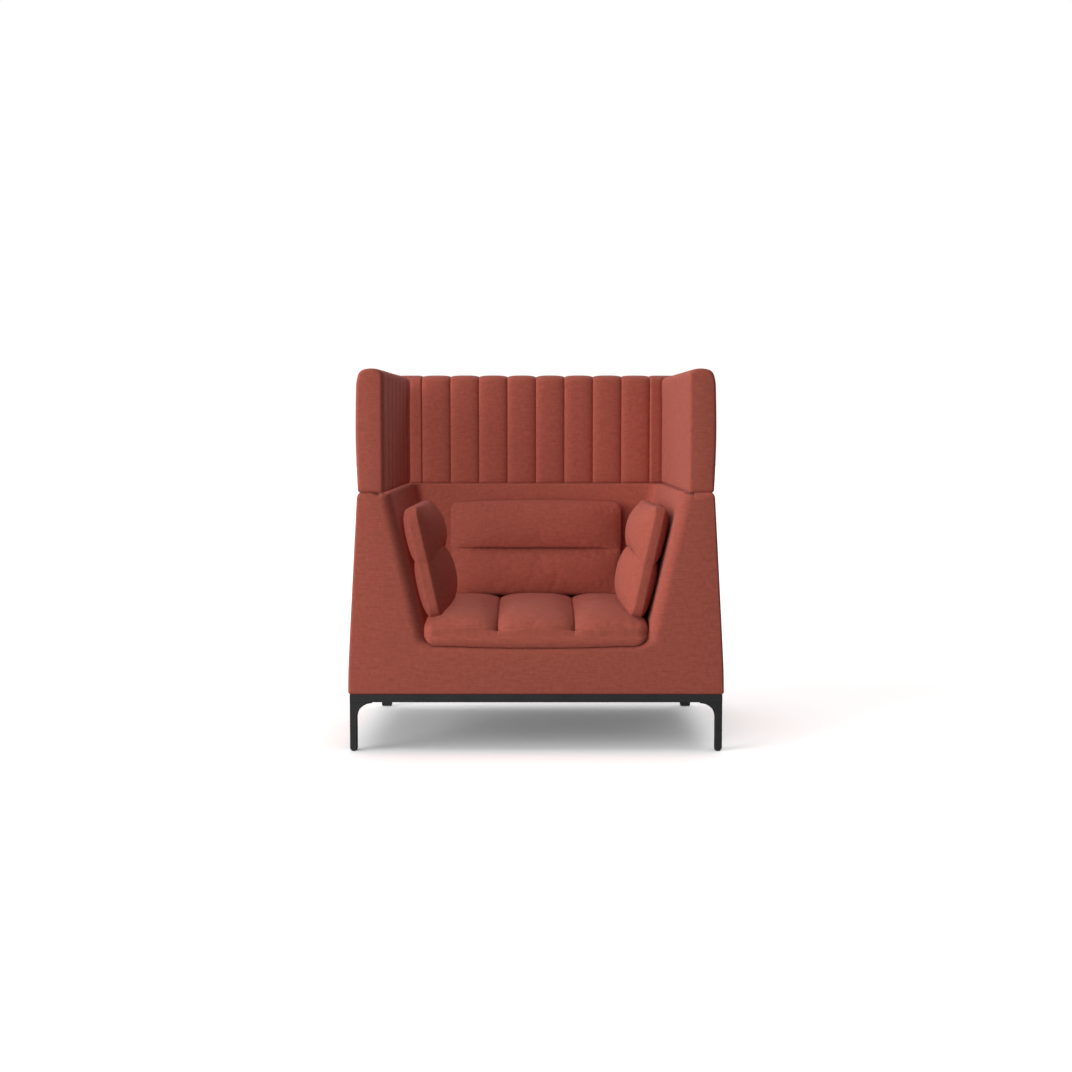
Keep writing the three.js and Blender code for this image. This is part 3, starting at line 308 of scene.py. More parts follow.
def wool(name, color):
    """Plain weave: height is sin(2 pi u / yarn) times sin(2 pi v / yarn), with slubs."""
    dull = {"Sheen Weight": 0.03, "Sheen Roughness": 0.5, "Specular IOR Level": 0.25}
    cloth = Finish(name, color, 0.95, **dull)
    weave = cloth.weave(cloth.cloth((2 * math.pi / yarn_pair,) * 3))
    weft = cloth.noise(cloth.cloth((20, 300, 1)), 1.0, 3)
    warp = cloth.noise(cloth.cloth((420, 30, 1)), 1.0, 3)
    cloudy = cloth.noise(cloth.cloth(), 70.0, 4)
    hairs = cloth.noise(cloth.cloth(), 1100.0, 2)
    shade = cloth.total((weft, 0.5), (warp, 0.3), (cloudy, 0.45), (hairs, 0.12), (weave, 0.03))
    dark, light = (tuple(c * k for c in color) for k in (1 - shade_spread, 1 + shade_spread))
    cloth.color(cloth.mix(cloth.remap(shade, 0.5, 0.87, 0.0, 1.0), dark, light))
    cloth.bump(cloth.total((weave, 0.5), (hairs, 0.9), (weft, 0.5)), 0.32, 0.5 * mm)
    return cloth.material


cover_cloth = wool("brick_wool", (0.36, 0.084, 0.057))


# %% [markdown]
# The steel has a black powder coat, which is slightly rough like orange peel. The glides
# are moulded nylon, the fittings zinc plated, and the hidden frame is plywood and beech.


# %% Rigid finishes
def speckled(name, color, roughness, tones, patches, grain, relief, rough=None, **sockets):
    """Patches of noise mix two tones, and a finer noise gives the relief.

    Each noise is (scale for x, y and z, noise scale, detail). Rough, if given, is the number
    of the noise that changes the roughness, 0 or 1, and its range.
    """
    finish = Finish(name, color, roughness, **sockets)
    noises = [finish.noise(finish.place(scale), *rest) for scale, *rest in (patches, grain)]
    finish.color(finish.mix(noises[0], *tones))
    if rough:
        number, low, high = rough
        share = finish.remap(noises[number], 0.3, 0.7, low, high)
        finish.set(finish.shader, {"Roughness": share})
    finish.bump(noises[1], *relief)
    return finish.material


def timber(name, pale, dark, grain_scale, ply=0.0):
    """Grain is noise drawn out along x; plywood adds thin layers, one per ply."""
    wood = Finish(name, pale, 0.62)
    grain = wood.noise(wood.place(grain_scale), 1.0, 5)
    share = wood.remap(grain, 0.3, 0.7, 0.0, 1.0)
    if ply:
        x = wood.add("SeparateXYZ", {"Vector": wood.place()})
        turn = 2 * math.pi / ply
        layers = wood.math("SINE", wood.total(*((axis, turn) for axis in x.node.outputs)))
        share = wood.total((share, 1.0), (layers, 0.1))
    wood.color(wood.mix(share, pale, dark))
    wood.bump(grain, 0.15, 0.3 * mm)
    return wood.material


def strap_weave():
    strap = Finish("strap_weave", (0.03, 0.025, 0.02), 0.8)
    fibre = strap.noise(strap.place((60, 500, 500)), 1.0, 2)
    strap.color(strap.mix(fibre, (0.018, 0.015, 0.012), (0.045, 0.038, 0.03)))
    strap.bump(strap.weave(strap.place((1800, 1800, 1))), 0.3, 0.3 * mm)
    return strap.material


even = (1, 1, 1)
finishes = {
    "black_powder_coat": speckled(
        "black_powder", (0.012, 0.0125, 0.0125), 0.5,
        tones=((0.010, 0.0105, 0.0105), (0.015, 0.0155, 0.0155)),
        patches=(even, 18.0, 3), grain=(even, 900.0, 2), relief=(0.12, 0.3 * mm),
        rough=(0, 0.44, 0.56), **{"Specular IOR Level": 0.35},
    ),
    "black_nylon": speckled(
        "black_nylon_moulded", (0.012, 0.012, 0.012), 0.6,
        tones=((0.010, 0.010, 0.010), (0.016, 0.016, 0.016)),
        patches=(even, 1400.0, 2), grain=(even, 1400.0, 2), relief=(0.15, 0.2 * mm),
        rough=(0, 0.52, 0.7),
    ),
    "zinc_steel": speckled(
        "zinc_plate", (0.55, 0.55, 0.53), 0.38,
        tones=((0.48, 0.48, 0.46), (0.62, 0.62, 0.60)),
        patches=(even, 60.0, 3), grain=((40, 40, 900), 1.0, 2), relief=(0.1, 0.1 * mm),
        rough=(1, 0.3, 0.46), Metallic=1.0,
    ),
    "black_felt": speckled(
        "black_felt_cloth", (0.012, 0.012, 0.013), 0.95,
        tones=((0.010, 0.010, 0.011), (0.020, 0.020, 0.021)),
        patches=(even, 30.0, 3), grain=(even, 700.0, 4), relief=(0.4, 0.5 * mm),
        **{"Sheen Weight": 0.2},
    ),
    "plywood": timber(
        "birch_plywood", (0.56, 0.40, 0.23), (0.38, 0.24, 0.12), (18, 160, 160), ply=3 * mm
    ),
    "beech": timber("beech_wood", (0.47, 0.28, 0.15), (0.33, 0.18, 0.09), (40, 260, 260)),
    "webbing": strap_weave(),
    "upholstery_fabric": cover_cloth,
}
for part in frame["record"]["subparts"]:
    slots = nodes[part["node"]].data.materials
    slots.clear()
    slots.append(finishes[part["material_slot"]])
print("finishes:", sorted(finishes))


# %% Dressing a piece
def dress(piece, body, slot, *replaced, fill=None):
    """Gives a piece its finish, the body it rides on and the solids it stands for."""
    piece.data.materials.append(finishes[slot])
    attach(piece, body)
    if replaced:
        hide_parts(*replaced)
    return piece


# %% [markdown]
# ## The tub's outer cover
#
# A single length of cloth runs from the left front edge, round the back, to the right front
# edge. In plan it is a line with two round corners; that line is carried up a profile which
# turns under the bottom, leans in as it rises, and rolls over the top.


# %% Lines in plan
def tub_half(z):
    """Half width of the tub at its front: a lean that sets in softly above the knee."""
    rise = z - tub_bottom - knee_rise
    return tub_half_width - side_lean * (rise + np.hypot(rise, knee_round)) / 2


def wall_line(half, start, rear, radius, counts=(56, 9, 34)):
    """Right half of a U in plan: a hem at start, the side, a round corner, half the back."""
    side_count, corner_count, back_count = counts
    centre = rear - radius
    side = toward_ends(side_count)[1:] * np.ones_like(half)
    y_hem = start + hem * np.ones_like(half)
    y_side = y_hem[:, -1:] + side * (centre - y_hem[:, -1:])
    y_straight = np.concatenate([y_hem, y_side], axis=1)
    x_straight = half - side_taper * (y_straight - chair_front)
    turn = quarter(corner_count + 1)[1:]
    corner_x = half - side_taper * (centre - chair_front) - radius
    x_turn = corner_x + radius * np.cos(turn)
    y_turn = centre + radius * np.sin(turn)
    x_back = corner_x * (1 - toward_ends(back_count)[1:])
    y_back = rear * np.ones_like(x_back)
    x = np.concatenate([x_straight, x_turn, x_back], axis=1)
    y = np.concatenate([y_straight, y_turn, y_back], axis=1)
    return x, y


def hem_distance(columns):
    """Distance of each column from the nearer end of the cloth, up to the hems' width."""
    distance = np.full(columns, hem[-1])
    distance[: len(hem)] = hem
    distance[-len(hem) :] = hem[::-1]
    return distance


def column(values):
    return np.asarray(values, float)[:, None]


# %% Outer cover
bottom_round, top_rise, top_depth = 0.008, 0.020, 0.009
tucked_in = np.array([0.016, 0.030, 0.048])
rear_corner, least_corner = 0.022, 0.003
cover_backing, outer_swell = 3 * mm, 1.5 * mm


def top_inset(z):
    """How far the rounded top edge has moved in: a quarter of an ellipse."""
    rise = unit((z - seam_height + top_rise) / top_rise)
    return top_depth * (1 - np.sqrt(1 - rise**2))


def outer_profile():
    """Height and inset, from the staple flange under the tub to the top under the screen."""
    turn = quarter(8)
    low, high = tub_bottom + bottom_round, seam_height - top_rise
    side = low + toward_ends(44)[1:-1] * (high - low)
    roll = high + top_rise * np.sin(quarter(11))
    under = [tub_bottom] * len(tucked_in)
    z = np.concatenate([under, low - bottom_round * np.cos(turn), side, roll, [seam_height] * 3])
    inset = np.concatenate(
        [tucked_in[::-1], bottom_round * (1 - np.sin(turn)), 0 * side, top_inset(roll), tucked_in]
    )
    return column(z), column(inset)


def outer_cover():
    z, inset = outer_profile()
    half, front, rear = tub_half(z) - inset, chair_front + inset, chair_rear - inset
    corner = np.maximum(rear_corner - inset, least_corner)
    x, y = wall_line(half, front + edge_roll + hem[-1], rear, corner)
    points = mirrored_half(points_of(x, y, z))
    distance = hem_distance(points.shape[1])
    share = unit((z - tub_bottom) / (seam_height - tub_bottom))
    swell = outer_swell * np.sin(np.pi * share) * distance / hem[-1]
    flat = unrolled(points)
    points = points - grid_normals(points) * (swell - tuck(distance))[..., None]
    return sewn("tub_outer_cover", [(points, flat, True)])


tub_outer = outer_cover()
thicken(tub_outer, cover_backing)
dress(tub_outer, "chair", "upholstery_fabric", fill=0.95)


# %% [markdown]
# ## The tub's inner cover
#
# The basin is a second length of cloth: over the ledge at the top, down the slanted wall,
# round the cove, and in across the deck below the seat cushion.


# %% Inner cover
roll_below_seat, roll_growth = 0.018, 0.020
basin_corner, widest_growth = 0.035, 0.05
smile_rise, smile_end, smile_reach = 15 * mm, 0.369, 0.07
ledge_strips = np.array([0.008, 0.018, 0.032])


def wall_spread(z):
    """How far the slanted wall lies beyond the floor's reference line at a height."""
    return math.tan(wall_slant) * (z - seat_floor)


def opening_roll(z):
    """Radius of the roll round the opening: it grows up the cove, from below the seat."""
    share = unit((z - seat_floor) / (cove_radius * (1 - math.sin(wall_slant))))
    return roll_below_seat + roll_growth * share**2 * (3 - 2 * share)


def inner_profile():
    """Spread and height of the basin, from the middle of its deck up to the ledge's top."""
    turn = np.linspace(-math.pi / 2, -wall_slant, 13)
    deck = -floor_half + 0.001 + toward_ends(7)[:-1] * (floor_half - cove_reach)
    cove_spread = -cove_reach + cove_radius * np.cos(turn)
    cove_z = seat_floor + cove_radius * (1 + np.sin(turn))
    wall_z = cove_z[-1] + toward_ends(32)[1:] * (seam_height - ledge_roll - cove_z[-1])
    roll = quarter(9)[1:]
    roll_z = seam_height - ledge_roll + ledge_roll * np.sin(roll)
    roll_spread = wall_spread(roll_z) + ledge_roll * (1 - np.cos(roll))
    flat = roll_spread[-1] + ledge_strips
    spread = np.concatenate([deck, cove_spread, wall_spread(wall_z), roll_spread, flat])
    z = np.concatenate([0 * deck + seat_floor, cove_z, wall_z, roll_z, 0 * flat + seam_height])
    return column(spread), column(z)


def smile(x, behind=0.0):
    """Rise of the opening's lower edge: q cubed times (1 - q ** 6), q being x / end.

    It fades with the square of what is left of its reach behind the front.
    """
    q = unit(np.abs(x) / smile_end)
    near = unit(1 - behind / smile_reach) ** 2
    return smile_rise * q**3 * (1 - q**6) * near


def inner_cover():
    spread, z = inner_profile()
    half, rear = floor_half + spread, floor_back + spread
    corner = basin_corner + np.clip(spread - wall_spread(z), 0, widest_growth)
    front = chair_front + opening_roll(z)
    x, y = wall_line(half, front, rear, np.minimum(corner, half * 0.9))
    points = mirrored_half(points_of(x, y, z))
    flat = unrolled(points)
    below_top = unit((seat_floor + cove_radius - z) / cove_radius)
    lift = smile(points[..., 0], points[..., 1] - front)
    points[..., 2] += lift * unit(4 * below_top)
    points = points - grid_normals(points) * tuck(hem_distance(points.shape[1]))[..., None]
    return sewn("tub_inner_cover", [(points, flat, False)])


tub_inner = inner_cover()
thicken(tub_inner, cover_backing)
dress(tub_inner, "chair", "upholstery_fabric", fill=0.9)


# %% [markdown]
# ## The tub's front cover
#
# The front is one U-shaped panel. Its rows run along the outline of the opening. Its columns
# run from the roll round the opening, across the face, round the outer edge and on to the
# side seam. Along the bottom the same columns turn under the tub instead.


# %% Outlines of the front cover
corner_margin, side_start = 0.040, 0.045
turn_begin, turn_end = 0.35, 0.65


def front_outline():
    """Per row: inner point, its normal's angle, outer point, the way it turns over, roll.

    Between two shares of the cove's rows, the outer point turns from the edge at the bottom
    to the edge at the side.
    """
    low, high = tub_bottom + bottom_round, seam_height - top_rise
    floor_x = toward_ends(36, 0.2) * (floor_half - cove_reach)
    turn = np.linspace(-math.pi / 2, -wall_slant, 25)[1:]
    cove_x = floor_half - cove_reach + cove_radius * np.cos(turn)
    cove_z = seat_floor + cove_radius * (1 + np.sin(turn))
    wall_z = cove_z[-1] + toward_ends(34, 0.3)[1:] * (high - cove_z[-1])
    roll_z = high + top_rise * np.sin(quarter(11))[1:]
    upper_z = np.concatenate([wall_z, roll_z, [seam_height] * 3])
    x = np.concatenate([floor_x, cove_x, floor_half + wall_spread(upper_z)])
    z = np.concatenate([0 * floor_x + seat_floor, cove_z, upper_z])
    roll = opening_roll(z)
    z = z + smile(x) * (np.arange(len(z)) < len(floor_x) + len(turn))
    angle = np.concatenate([0 * floor_x - math.pi / 2, turn, 0 * upper_z - wall_slant])
    way = np.linspace(0, 1, len(turn) + 1)[1:]
    corner_x = tub_half(low) - edge_roll
    out_x = np.concatenate(
        [
            floor_x / floor_x[-1] * (corner_x - corner_margin),
            corner_x - corner_margin * (1 - unit(way / turn_begin)),
            0 * upper_z,
        ]
    )
    side_z = low + side_start * unit((way - turn_end) / (1 - turn_end))
    climb = (wall_z - cove_z[-1]) / (high - cove_z[-1])
    out_z = np.concatenate([low + 0 * floor_x, side_z, side_z[-1] + climb * (high - side_z[-1])])
    out_z = np.concatenate([out_z, upper_z[len(wall_z) :]])
    turned = unit((way - turn_begin) / (turn_end - turn_begin))
    over = np.concatenate([0 * floor_x, turned, 0 * upper_z + 1])
    past_corner = over >= 1
    out_x = np.where(past_corner, tub_half(out_z) - edge_roll, out_x)
    return x, z, angle, out_x, out_z, over * math.pi / 2, roll


# %% Front cover
roll_steps, edge_steps, ease_columns = 12, 9, 20
flange_growth, front_swell = 7, 1.2 * mm


def front_cover():
    """Columns: a hem, the opening's roll, the face, the outer edge, and a hem or flange."""
    x, z, angle, out_x, out_z, over, radius = (column(v) for v in front_outline())
    normal = points_of(np.cos(angle), 0, np.sin(angle))
    outward = points_of(np.sin(over), 0, -np.cos(over))
    back = np.array([0, 1, 0])
    wall = points_of(x, chair_front + radius, z)
    radius = radius[..., None]
    turn = quarter(roll_steps)[None, :, None]
    inner_hem = wall + back * hem[:0:-1][None, :, None]
    roll = wall + radius * (normal * (1 - np.cos(turn)) - back * np.sin(turn))
    inner_edge = roll[:, -1:]
    outer_edge = points_of(out_x, chair_front, out_z)
    reach = outer_edge - inner_edge
    length = np.linalg.norm(reach, axis=2, keepdims=True)
    direction = reach / length
    face = inner_edge + reach * toward_ends(26, 0.3)[None, 1:, None]
    bend = quarter(edge_steps)[None, 1:, None]
    radius = edge_roll - (edge_roll - bottom_round) * np.cos(over)[..., None]
    edge = outer_edge + outward * radius * np.sin(bend) + back * radius * (1 - np.cos(bend))
    stretch = 1 + flange_growth * np.cos(over)[..., None]
    side_hem = edge[:, -1:] + back * hem[None, 1:, None] * stretch
    right = np.concatenate([inner_hem, roll, face, edge, side_hem], axis=1)

    roll_start, roll_end = len(hem) - 1, len(hem) - 1 + roll_steps
    lean = np.zeros(right.shape[1])
    lean[:roll_start] = 1
    lean[roll_start:roll_end] = np.cos(turn[0, :, 0])
    inset = top_inset(out_z)
    inset[-3:, 0] = tucked_in
    ledge_rise = unit((z - seam_height + ledge_roll) / ledge_roll)
    ledge = ledge_roll * (1 - np.sqrt(1 - ledge_rise**2))
    ledge[-3:, 0] = tucked_in
    right = right + normal * (lean * ledge)[..., None]
    right = right + back * ((1 - lean) * inset)[..., None]
    far = unit((np.arange(right.shape[1]) - roll_end) / ease_columns)
    right[..., 0] -= far * inset
    right[..., 0] -= side_taper * (right[..., 1] - chair_front)

    run = np.linalg.norm(np.diff(right, axis=1), axis=2)
    run = np.pad(np.cumsum(run, axis=1), ((0, 0), (1, 0)))
    run = (run - run[:, roll_end - 1 : roll_end])[..., None]
    cloth = (inner_edge + np.where(run > 0, direction, normal) * run)[..., [0, 2]]
    inner_gap, outer_gap = np.full((2, right.shape[1]), hem[-1])
    inner_gap[: len(hem)] = outer_gap[-len(hem) :] = hem[::-1]
    share = unit(run[..., 0] / length[..., 0])
    sewn_in = tuck(inner_gap) + tuck(outer_gap) * np.sin(over)
    swell = front_swell * np.sin(np.pi * share) - sewn_in
    right = right + grid_normals(right) * swell[..., None]
    sheet = mirrored_rows(right), mirrored_rows(cloth), False
    return sewn("tub_front_cover", [sheet])


tub_front = front_cover()
thicken(tub_front, cover_backing)
dress(tub_front, "chair", "upholstery_fabric", "tub_upholstery", fill=0.95)


# %% [markdown]
# ## The screen
#
# The screen is a thick padded wall. Its section is one closed line: up the plain outside,
# over the rounded top, down the channelled inside and back under. That section is carried
# along a U-shaped path. Each channel swells between two sewn grooves, and the grooves also
# dip the top edge, which scallops it.


# %% Section of the screen
# Across from the outside, up from the seam, share of a channel's swell, share of its dip.
screen_section = np.array([
    (0.30, 0, 0, 0), (0.14, 0, 0, 0), (0.085, 0.010, 0, 0), (0.06, 0.035, 0, 0),
    (0.02, 0.26, 0, 0), (0, 0.51, 0, 0), (0.03, 0.83, 0, 0), (0.055, 0.90, 0, 0.03),
    (0.11, 0.950, 0, 0.1), (0.18, 0.974, 0, 0.2), (0.28, 0.989, 0, 0.35),
    (0.42, 0.997, 0.1, 0.5), (0.58, 1, 0.2, 0.65), (0.74, 0.997, 0.35, 0.7),
    (0.87, 0.987, 0.5, 0.65), (0.955, 0.972, 0.8, 0.4), (1, 0.948, 1, 0.15),
    (1.01, 0.90, 1, 0), (1, 0.70, 1, 0), (1, 0.48, 1, 0), (1, 0.25, 1, 0),
    (1, 0.05, 1, 0), (0.985, 0.015, 0.8, 0), (0.92, 0, 0.5, 0), (0.62, 0, 0, 0),
])


def smooth_ring(control, steps):
    """A closed Catmull-Rom curve through control rows, with steps points from each row."""
    before, after = np.roll(control, 1, axis=0), np.roll(control, -1, axis=0)
    later = np.roll(control, -2, axis=0)
    t = np.linspace(0, 1, steps, endpoint=False)[None, :, None]
    p0, p1, p2, p3 = (p[:, None, :] for p in (before, control, after, later))
    square, cube = 2 * p0 - 5 * p1 + 4 * p2 - p3, 3 * p1 - p0 - 3 * p2 + p3
    curve = p1 + t / 2 * (p2 - p0 + t * (square + t * cube))
    return curve.reshape(-1, control.shape[1])


# %% Channels of the screen
screen_top, screen_half, screen_thick = 1.259, 0.588, 0.0905
back_inner, inner_radius, outer_radius = chair_rear - 0.078, 0.005, 0.022
wing_roll, channel_swell, channel_pitch = 0.012, 0.012, 0.1065
back_grooves, wing_grooves = 5, 8
wide_channel, narrow_channel = 0.09, 0.05
corner_swell, wing_swell = 0.45, 0.28
screen_gap, front_bow = 0.3 * mm, 1.2 * mm
straight_to, corner_bias, bias_end, dip_end = 0.21, 2.1, 0.10, 0.12


def wing_edge(y):
    """Outer face of a wing in plan."""
    return screen_half - side_taper * (y - chair_front)


def channel_stations(grooves, steps=17):
    """Distances along the path, with each channel's swell: (1 - |t| ** power) ** 0.6."""
    t = np.sin(np.linspace(-1, 1, steps + 1)[:-1] * math.pi / 2)
    width = np.diff(grooves)
    s = (grooves[:-1, None] + (t + 1) / 2 * width[:, None]).ravel()
    number = np.arange(len(width))
    share = np.where(number > back_grooves, wing_swell, 1)
    full = channel_swell * np.minimum(width / wide_channel, 1) ** 0.4 * share
    full[back_grooves] *= corner_swell
    power = np.where(width < narrow_channel, 7, 3)[:, None]
    swell = (full[:, None] * (1 - np.abs(t) ** power) ** 0.6).ravel()
    depth = (full[:, None] + 0 * t).ravel()
    return np.append(s, grooves[-1]), np.append(swell, 0), np.append(depth, depth[-1])


# %% [markdown]
# In plan the path runs from the middle of the back, round a corner and along a wing. A
# channel swells most in the back, less next to the corner and least in the wings.


# %% Path of the screen
def screen_path():
    """Inner and outer points in plan, swell, dip and crest bias, from the back's middle."""
    turn_y = back_inner - inner_radius
    turn_x = wing_edge(turn_y) - screen_thick - inner_radius
    out_y = chair_rear - outer_radius
    out_x = wing_edge(out_y) - outer_radius
    bend = inner_radius * math.pi / 2
    wing_end = chair_front + wing_roll
    total = turn_x + bend + turn_y - wing_end
    corner = turn_x + bend / 2
    on_the_wing = np.linspace(corner, total, wing_grooves)
    grooves = np.concatenate([channel_pitch * np.arange(back_grooves), on_the_wing])
    s, swell, depth = channel_stations(grooves)
    angle = math.pi / 2 - np.clip((s - turn_x) / inner_radius, 0, math.pi / 2)
    on_back, on_wing = s < turn_x, s > turn_x + bend
    along = turn_y - (s - turn_x - bend)
    inner_y = np.where(on_wing, along, turn_y + inner_radius * np.sin(angle))
    inner_x = np.where(on_back, s, turn_x + inner_radius * np.cos(angle))
    inner_x = np.where(on_wing, wing_edge(along) - screen_thick, inner_x)
    last_groove = grooves[back_grooves - 1]
    outer_x = np.interp(s, [0, last_groove, turn_x], [0, last_groove, out_x])
    outer_x = np.where(on_back, outer_x, out_x + outer_radius * np.cos(angle))
    outer_y = np.interp(along, [wing_end, straight_to, turn_y], [wing_end, straight_to, out_y])
    outer_x = np.where(on_wing, wing_edge(outer_y), outer_x)
    outer_y = np.where(on_wing, outer_y, out_y + outer_radius * np.sin(angle))
    bias_at = [0, channel_pitch * 3, corner, total - bias_end]
    bias = np.interp(s, bias_at, [1, 1, corner_bias, 1])
    inner, outer = points_of(inner_x, inner_y), points_of(outer_x, outer_y)
    dip_share = np.interp(s, [0, corner, total - dip_end, total], [1, 0.6, 0.4, 0])
    dip = (depth - swell) * dip_share
    return inner, outer, swell, dip, bias, 0 * s


# %% [markdown]
# The wings end in a rounded front. There the section shrinks evenly while it moves along a
# quarter circle, as padding does that turns round the end of a board.


# %% Stations of the screen
def wing_cap(inner_last, outer_last):
    """Stations that round the wing's front edge: the section shrinks along a quarter circle."""
    angle = quarter(9)[1:]
    y = inner_last[1] - wing_roll * np.sin(angle)
    shift = -side_taper * (y - inner_last[1])
    inner = points_of(inner_last[0] + shift, y)
    outer = points_of(outer_last[0] + shift, y)
    return inner, outer, 0 * angle, 0 * angle, 0 * angle + 1, wing_roll * (1 - np.cos(angle))


def screen_rings(inner, outer, swell, dip, bias, shrink, section):
    """The section at each station: across from outer to inner, up from the seam."""
    foot = seam_height + screen_gap
    tall = screen_top - foot
    thick = np.linalg.norm(inner - outer, axis=1)[:, None]
    across, up, swell_share, dip_share = section.T
    across = np.sign(across) * np.abs(across) ** bias[:, None]
    squeeze = 1 - 2 * shrink[:, None] / thick
    lower = 1 - 2 * shrink[:, None] / tall
    across = 0.5 + (across - 0.5) * squeeze + swell_share * swell[:, None] / thick
    rise = 0.5 + (up - 0.5) * lower
    plan = outer[:, None, :] + across[..., None] * (inner - outer)[:, None, :]
    z = foot + rise * tall - dip_share * dip[:, None]
    return np.concatenate([plan, z[..., None]], axis=-1)


# %% Screen cover
def screen_cover():
    """The carried section, and two fronts that close it: its edge drawn in to a line."""
    section = smooth_ring(screen_section, 3)
    path = screen_path()
    cap = wing_cap(path[0][-1], path[1][-1])
    stations = [np.concatenate(pair) for pair in zip(path, cap)]
    rings = screen_rings(*stations, section)
    whole = mirrored_rows(rings)
    whole = np.concatenate([whole, whole[:, :1]], axis=1)
    sheets = [(whole, unrolled(whole)[..., ::-1], False)]
    edge = rings[-1]
    edge = np.concatenate([edge, edge[:1]])
    left, low = edge[:, [0, 2]].min(axis=0)
    right, high = edge[:, [0, 2]].max(axis=0)
    middle, half_thick = (right + left) / 2, (right - left) / 2
    height = np.clip(edge[:, 2], low + half_thick, high - half_thick)
    spine = points_of(middle, edge[:, 1], height)
    share = np.linspace(0, 1, 9)[:, None, None]
    front = edge + share * (spine - edge)
    front[..., 1] -= front_bow * np.sin(share[..., 0] * math.pi / 2)
    for side, turned in ((1, False), (-1, True)):
        sheet = front * np.array([side, 1, 1])
        sheets.append((sheet, sheet[..., [0, 2]], turned))
    return sewn("screen_cover", sheets)


screen = screen_cover()
dress(screen, "chair", "upholstery_fabric", "screen_upholstery", fill=0.85)


# %% [markdown]
# ## The cushions
#
# A boxed cushion has two panels and a border strip between them. Each panel is a grid over
# the cushion's plan, whose corners are rounded. Its height is a profile along the cushion
# times a profile up it. A sewn crease pulls the panels down and leaves two lobes.


# %% Shape of a cushion
def crown(share, power):
    """A rounded hump: (1 - |share| ** power) ** (1 / power)."""
    return unit(1 - np.abs(share) ** power) ** (1 / power)


def lobe(s, floor, peak):
    """From a crease at s = 0 up a quarter ellipse to 1 at the peak, then down to 0 at s = 1.

    Down it is (1 - q ** 2.4) ** 0.6, where q is the share of the way from peak to end.
    """
    up = floor + (1 - floor) * np.sqrt(unit(1 - (1 - unit(s / peak)) ** 2))
    down = unit(1 - unit((s - peak) / (1 - peak)) ** 2.4) ** 0.6
    return np.where(s < peak, up, down)


def rounded_plan(x, y, half_length, half_height, corner):
    """Moves each corner square (a, b) of a grid onto a quarter disk of the same radius r.

    Points move along their ray to the length sqrt(a^2 + b^2 - (a b / r)^2), without a kink.
    """
    over_x = np.abs(x) - (half_length - corner)
    over_y = np.abs(y) - (half_height - corner)
    inside = (over_x <= 0) | (over_y <= 0)
    size = np.maximum(np.hypot(over_x, over_y), 1e-9)
    pull = np.sqrt(np.clip(size**2 - (over_x * over_y / corner) ** 2, 0, None)) / size
    new_x = np.sign(x) * (half_length - corner + over_x * pull)
    new_y = np.sign(y) * (half_height - corner + over_y * pull)
    return np.where(inside, x, new_x), np.where(inside, y, new_y)


# %% [markdown]
# A border strip joins the outlines of the two panels. It arches outwards a little between
# its two seams, as cloth over foam does.


# %% Border of a cushion
def border_loop(grid):
    """The outline of a grid, once round, closed."""
    return np.concatenate([grid[0], grid[1:, -1], grid[-1, -2::-1], grid[-2::-1, 0]])


def boxed(name, upper, lower, plan, held=None, border_rows=11, bulge=1.5 * mm):
    """A closed cushion from an upper and a lower panel, with a border strip between them."""
    top, under = border_loop(upper), border_loop(lower)
    share = toward_ends(border_rows, 0.8)[:, None, None]
    strip = top + share * (under - top)
    facing = np.cross(np.gradient(top, axis=0), (under - top) + 1e-9)
    facing /= np.maximum(np.linalg.norm(facing, axis=1, keepdims=True), 1e-9)
    centre = (upper.mean(axis=(0, 1)) + lower.mean(axis=(0, 1))) / 2
    facing *= np.sign(np.sum(facing * (top - centre), axis=1, keepdims=True))
    arch = np.sin(np.pi * share) ** 0.7
    strip = strip + facing * bulge * arch
    sheets = [(upper, plan, False), (lower, plan, True), (strip, unrolled(strip), True)]
    if held:
        seam = 1 - 0.6 * arch[..., 0] * np.ones(len(top))
        held = [*held, np.maximum(seam, border_loop(held[1][..., None])[:, 0])]
    return sewn(name, sheets, held)


def panel_shares(columns, rows):
    """Shares from -1 to 1 along and up a panel, closer together at borders and at the crease."""
    u = 2 * toward_ends(columns, 0.85) - 1
    half = toward_ends((rows + 1) // 2, 0.8)
    v = np.concatenate([half - 1, half[1:]])
    return np.meshgrid(u, v)


# %% [markdown]
# No filled cushion is even: soft folds cross its panels, and short gathers stand along its
# crease. Each cushion has a seed of its own, so its folds are the same in every run.


# %% Folds and creases
def ripple(u, v, seed, waves=9):
    """Soft folds: a sum of sines whose directions and lengths come from a fixed seed."""
    random = np.random.default_rng(seed)
    total = np.zeros_like(u)
    for _ in range(waves):
        turn, length = random.uniform(0, math.pi), random.uniform(1.5, 7)
        phase = random.uniform(0, 6.3)
        total += np.sin(length * (u * math.cos(turn) + v * math.sin(turn)) * 2 + phase)
    return total / waves


def near_stitches(distance, reach):
    """Share of the cloth that stitches hold: exp(-(distance / reach) ** 2), reach in mm."""
    return np.exp(-((distance / reach) ** 2) / mm**2)


crease_width, gather_height, fold_height = 0.10, 1.5 * mm, 1.6 * mm
edge_tuck, border_arch = 2.4 * mm, 0.6 * mm
edge_hold, crease_hold = 7, 9


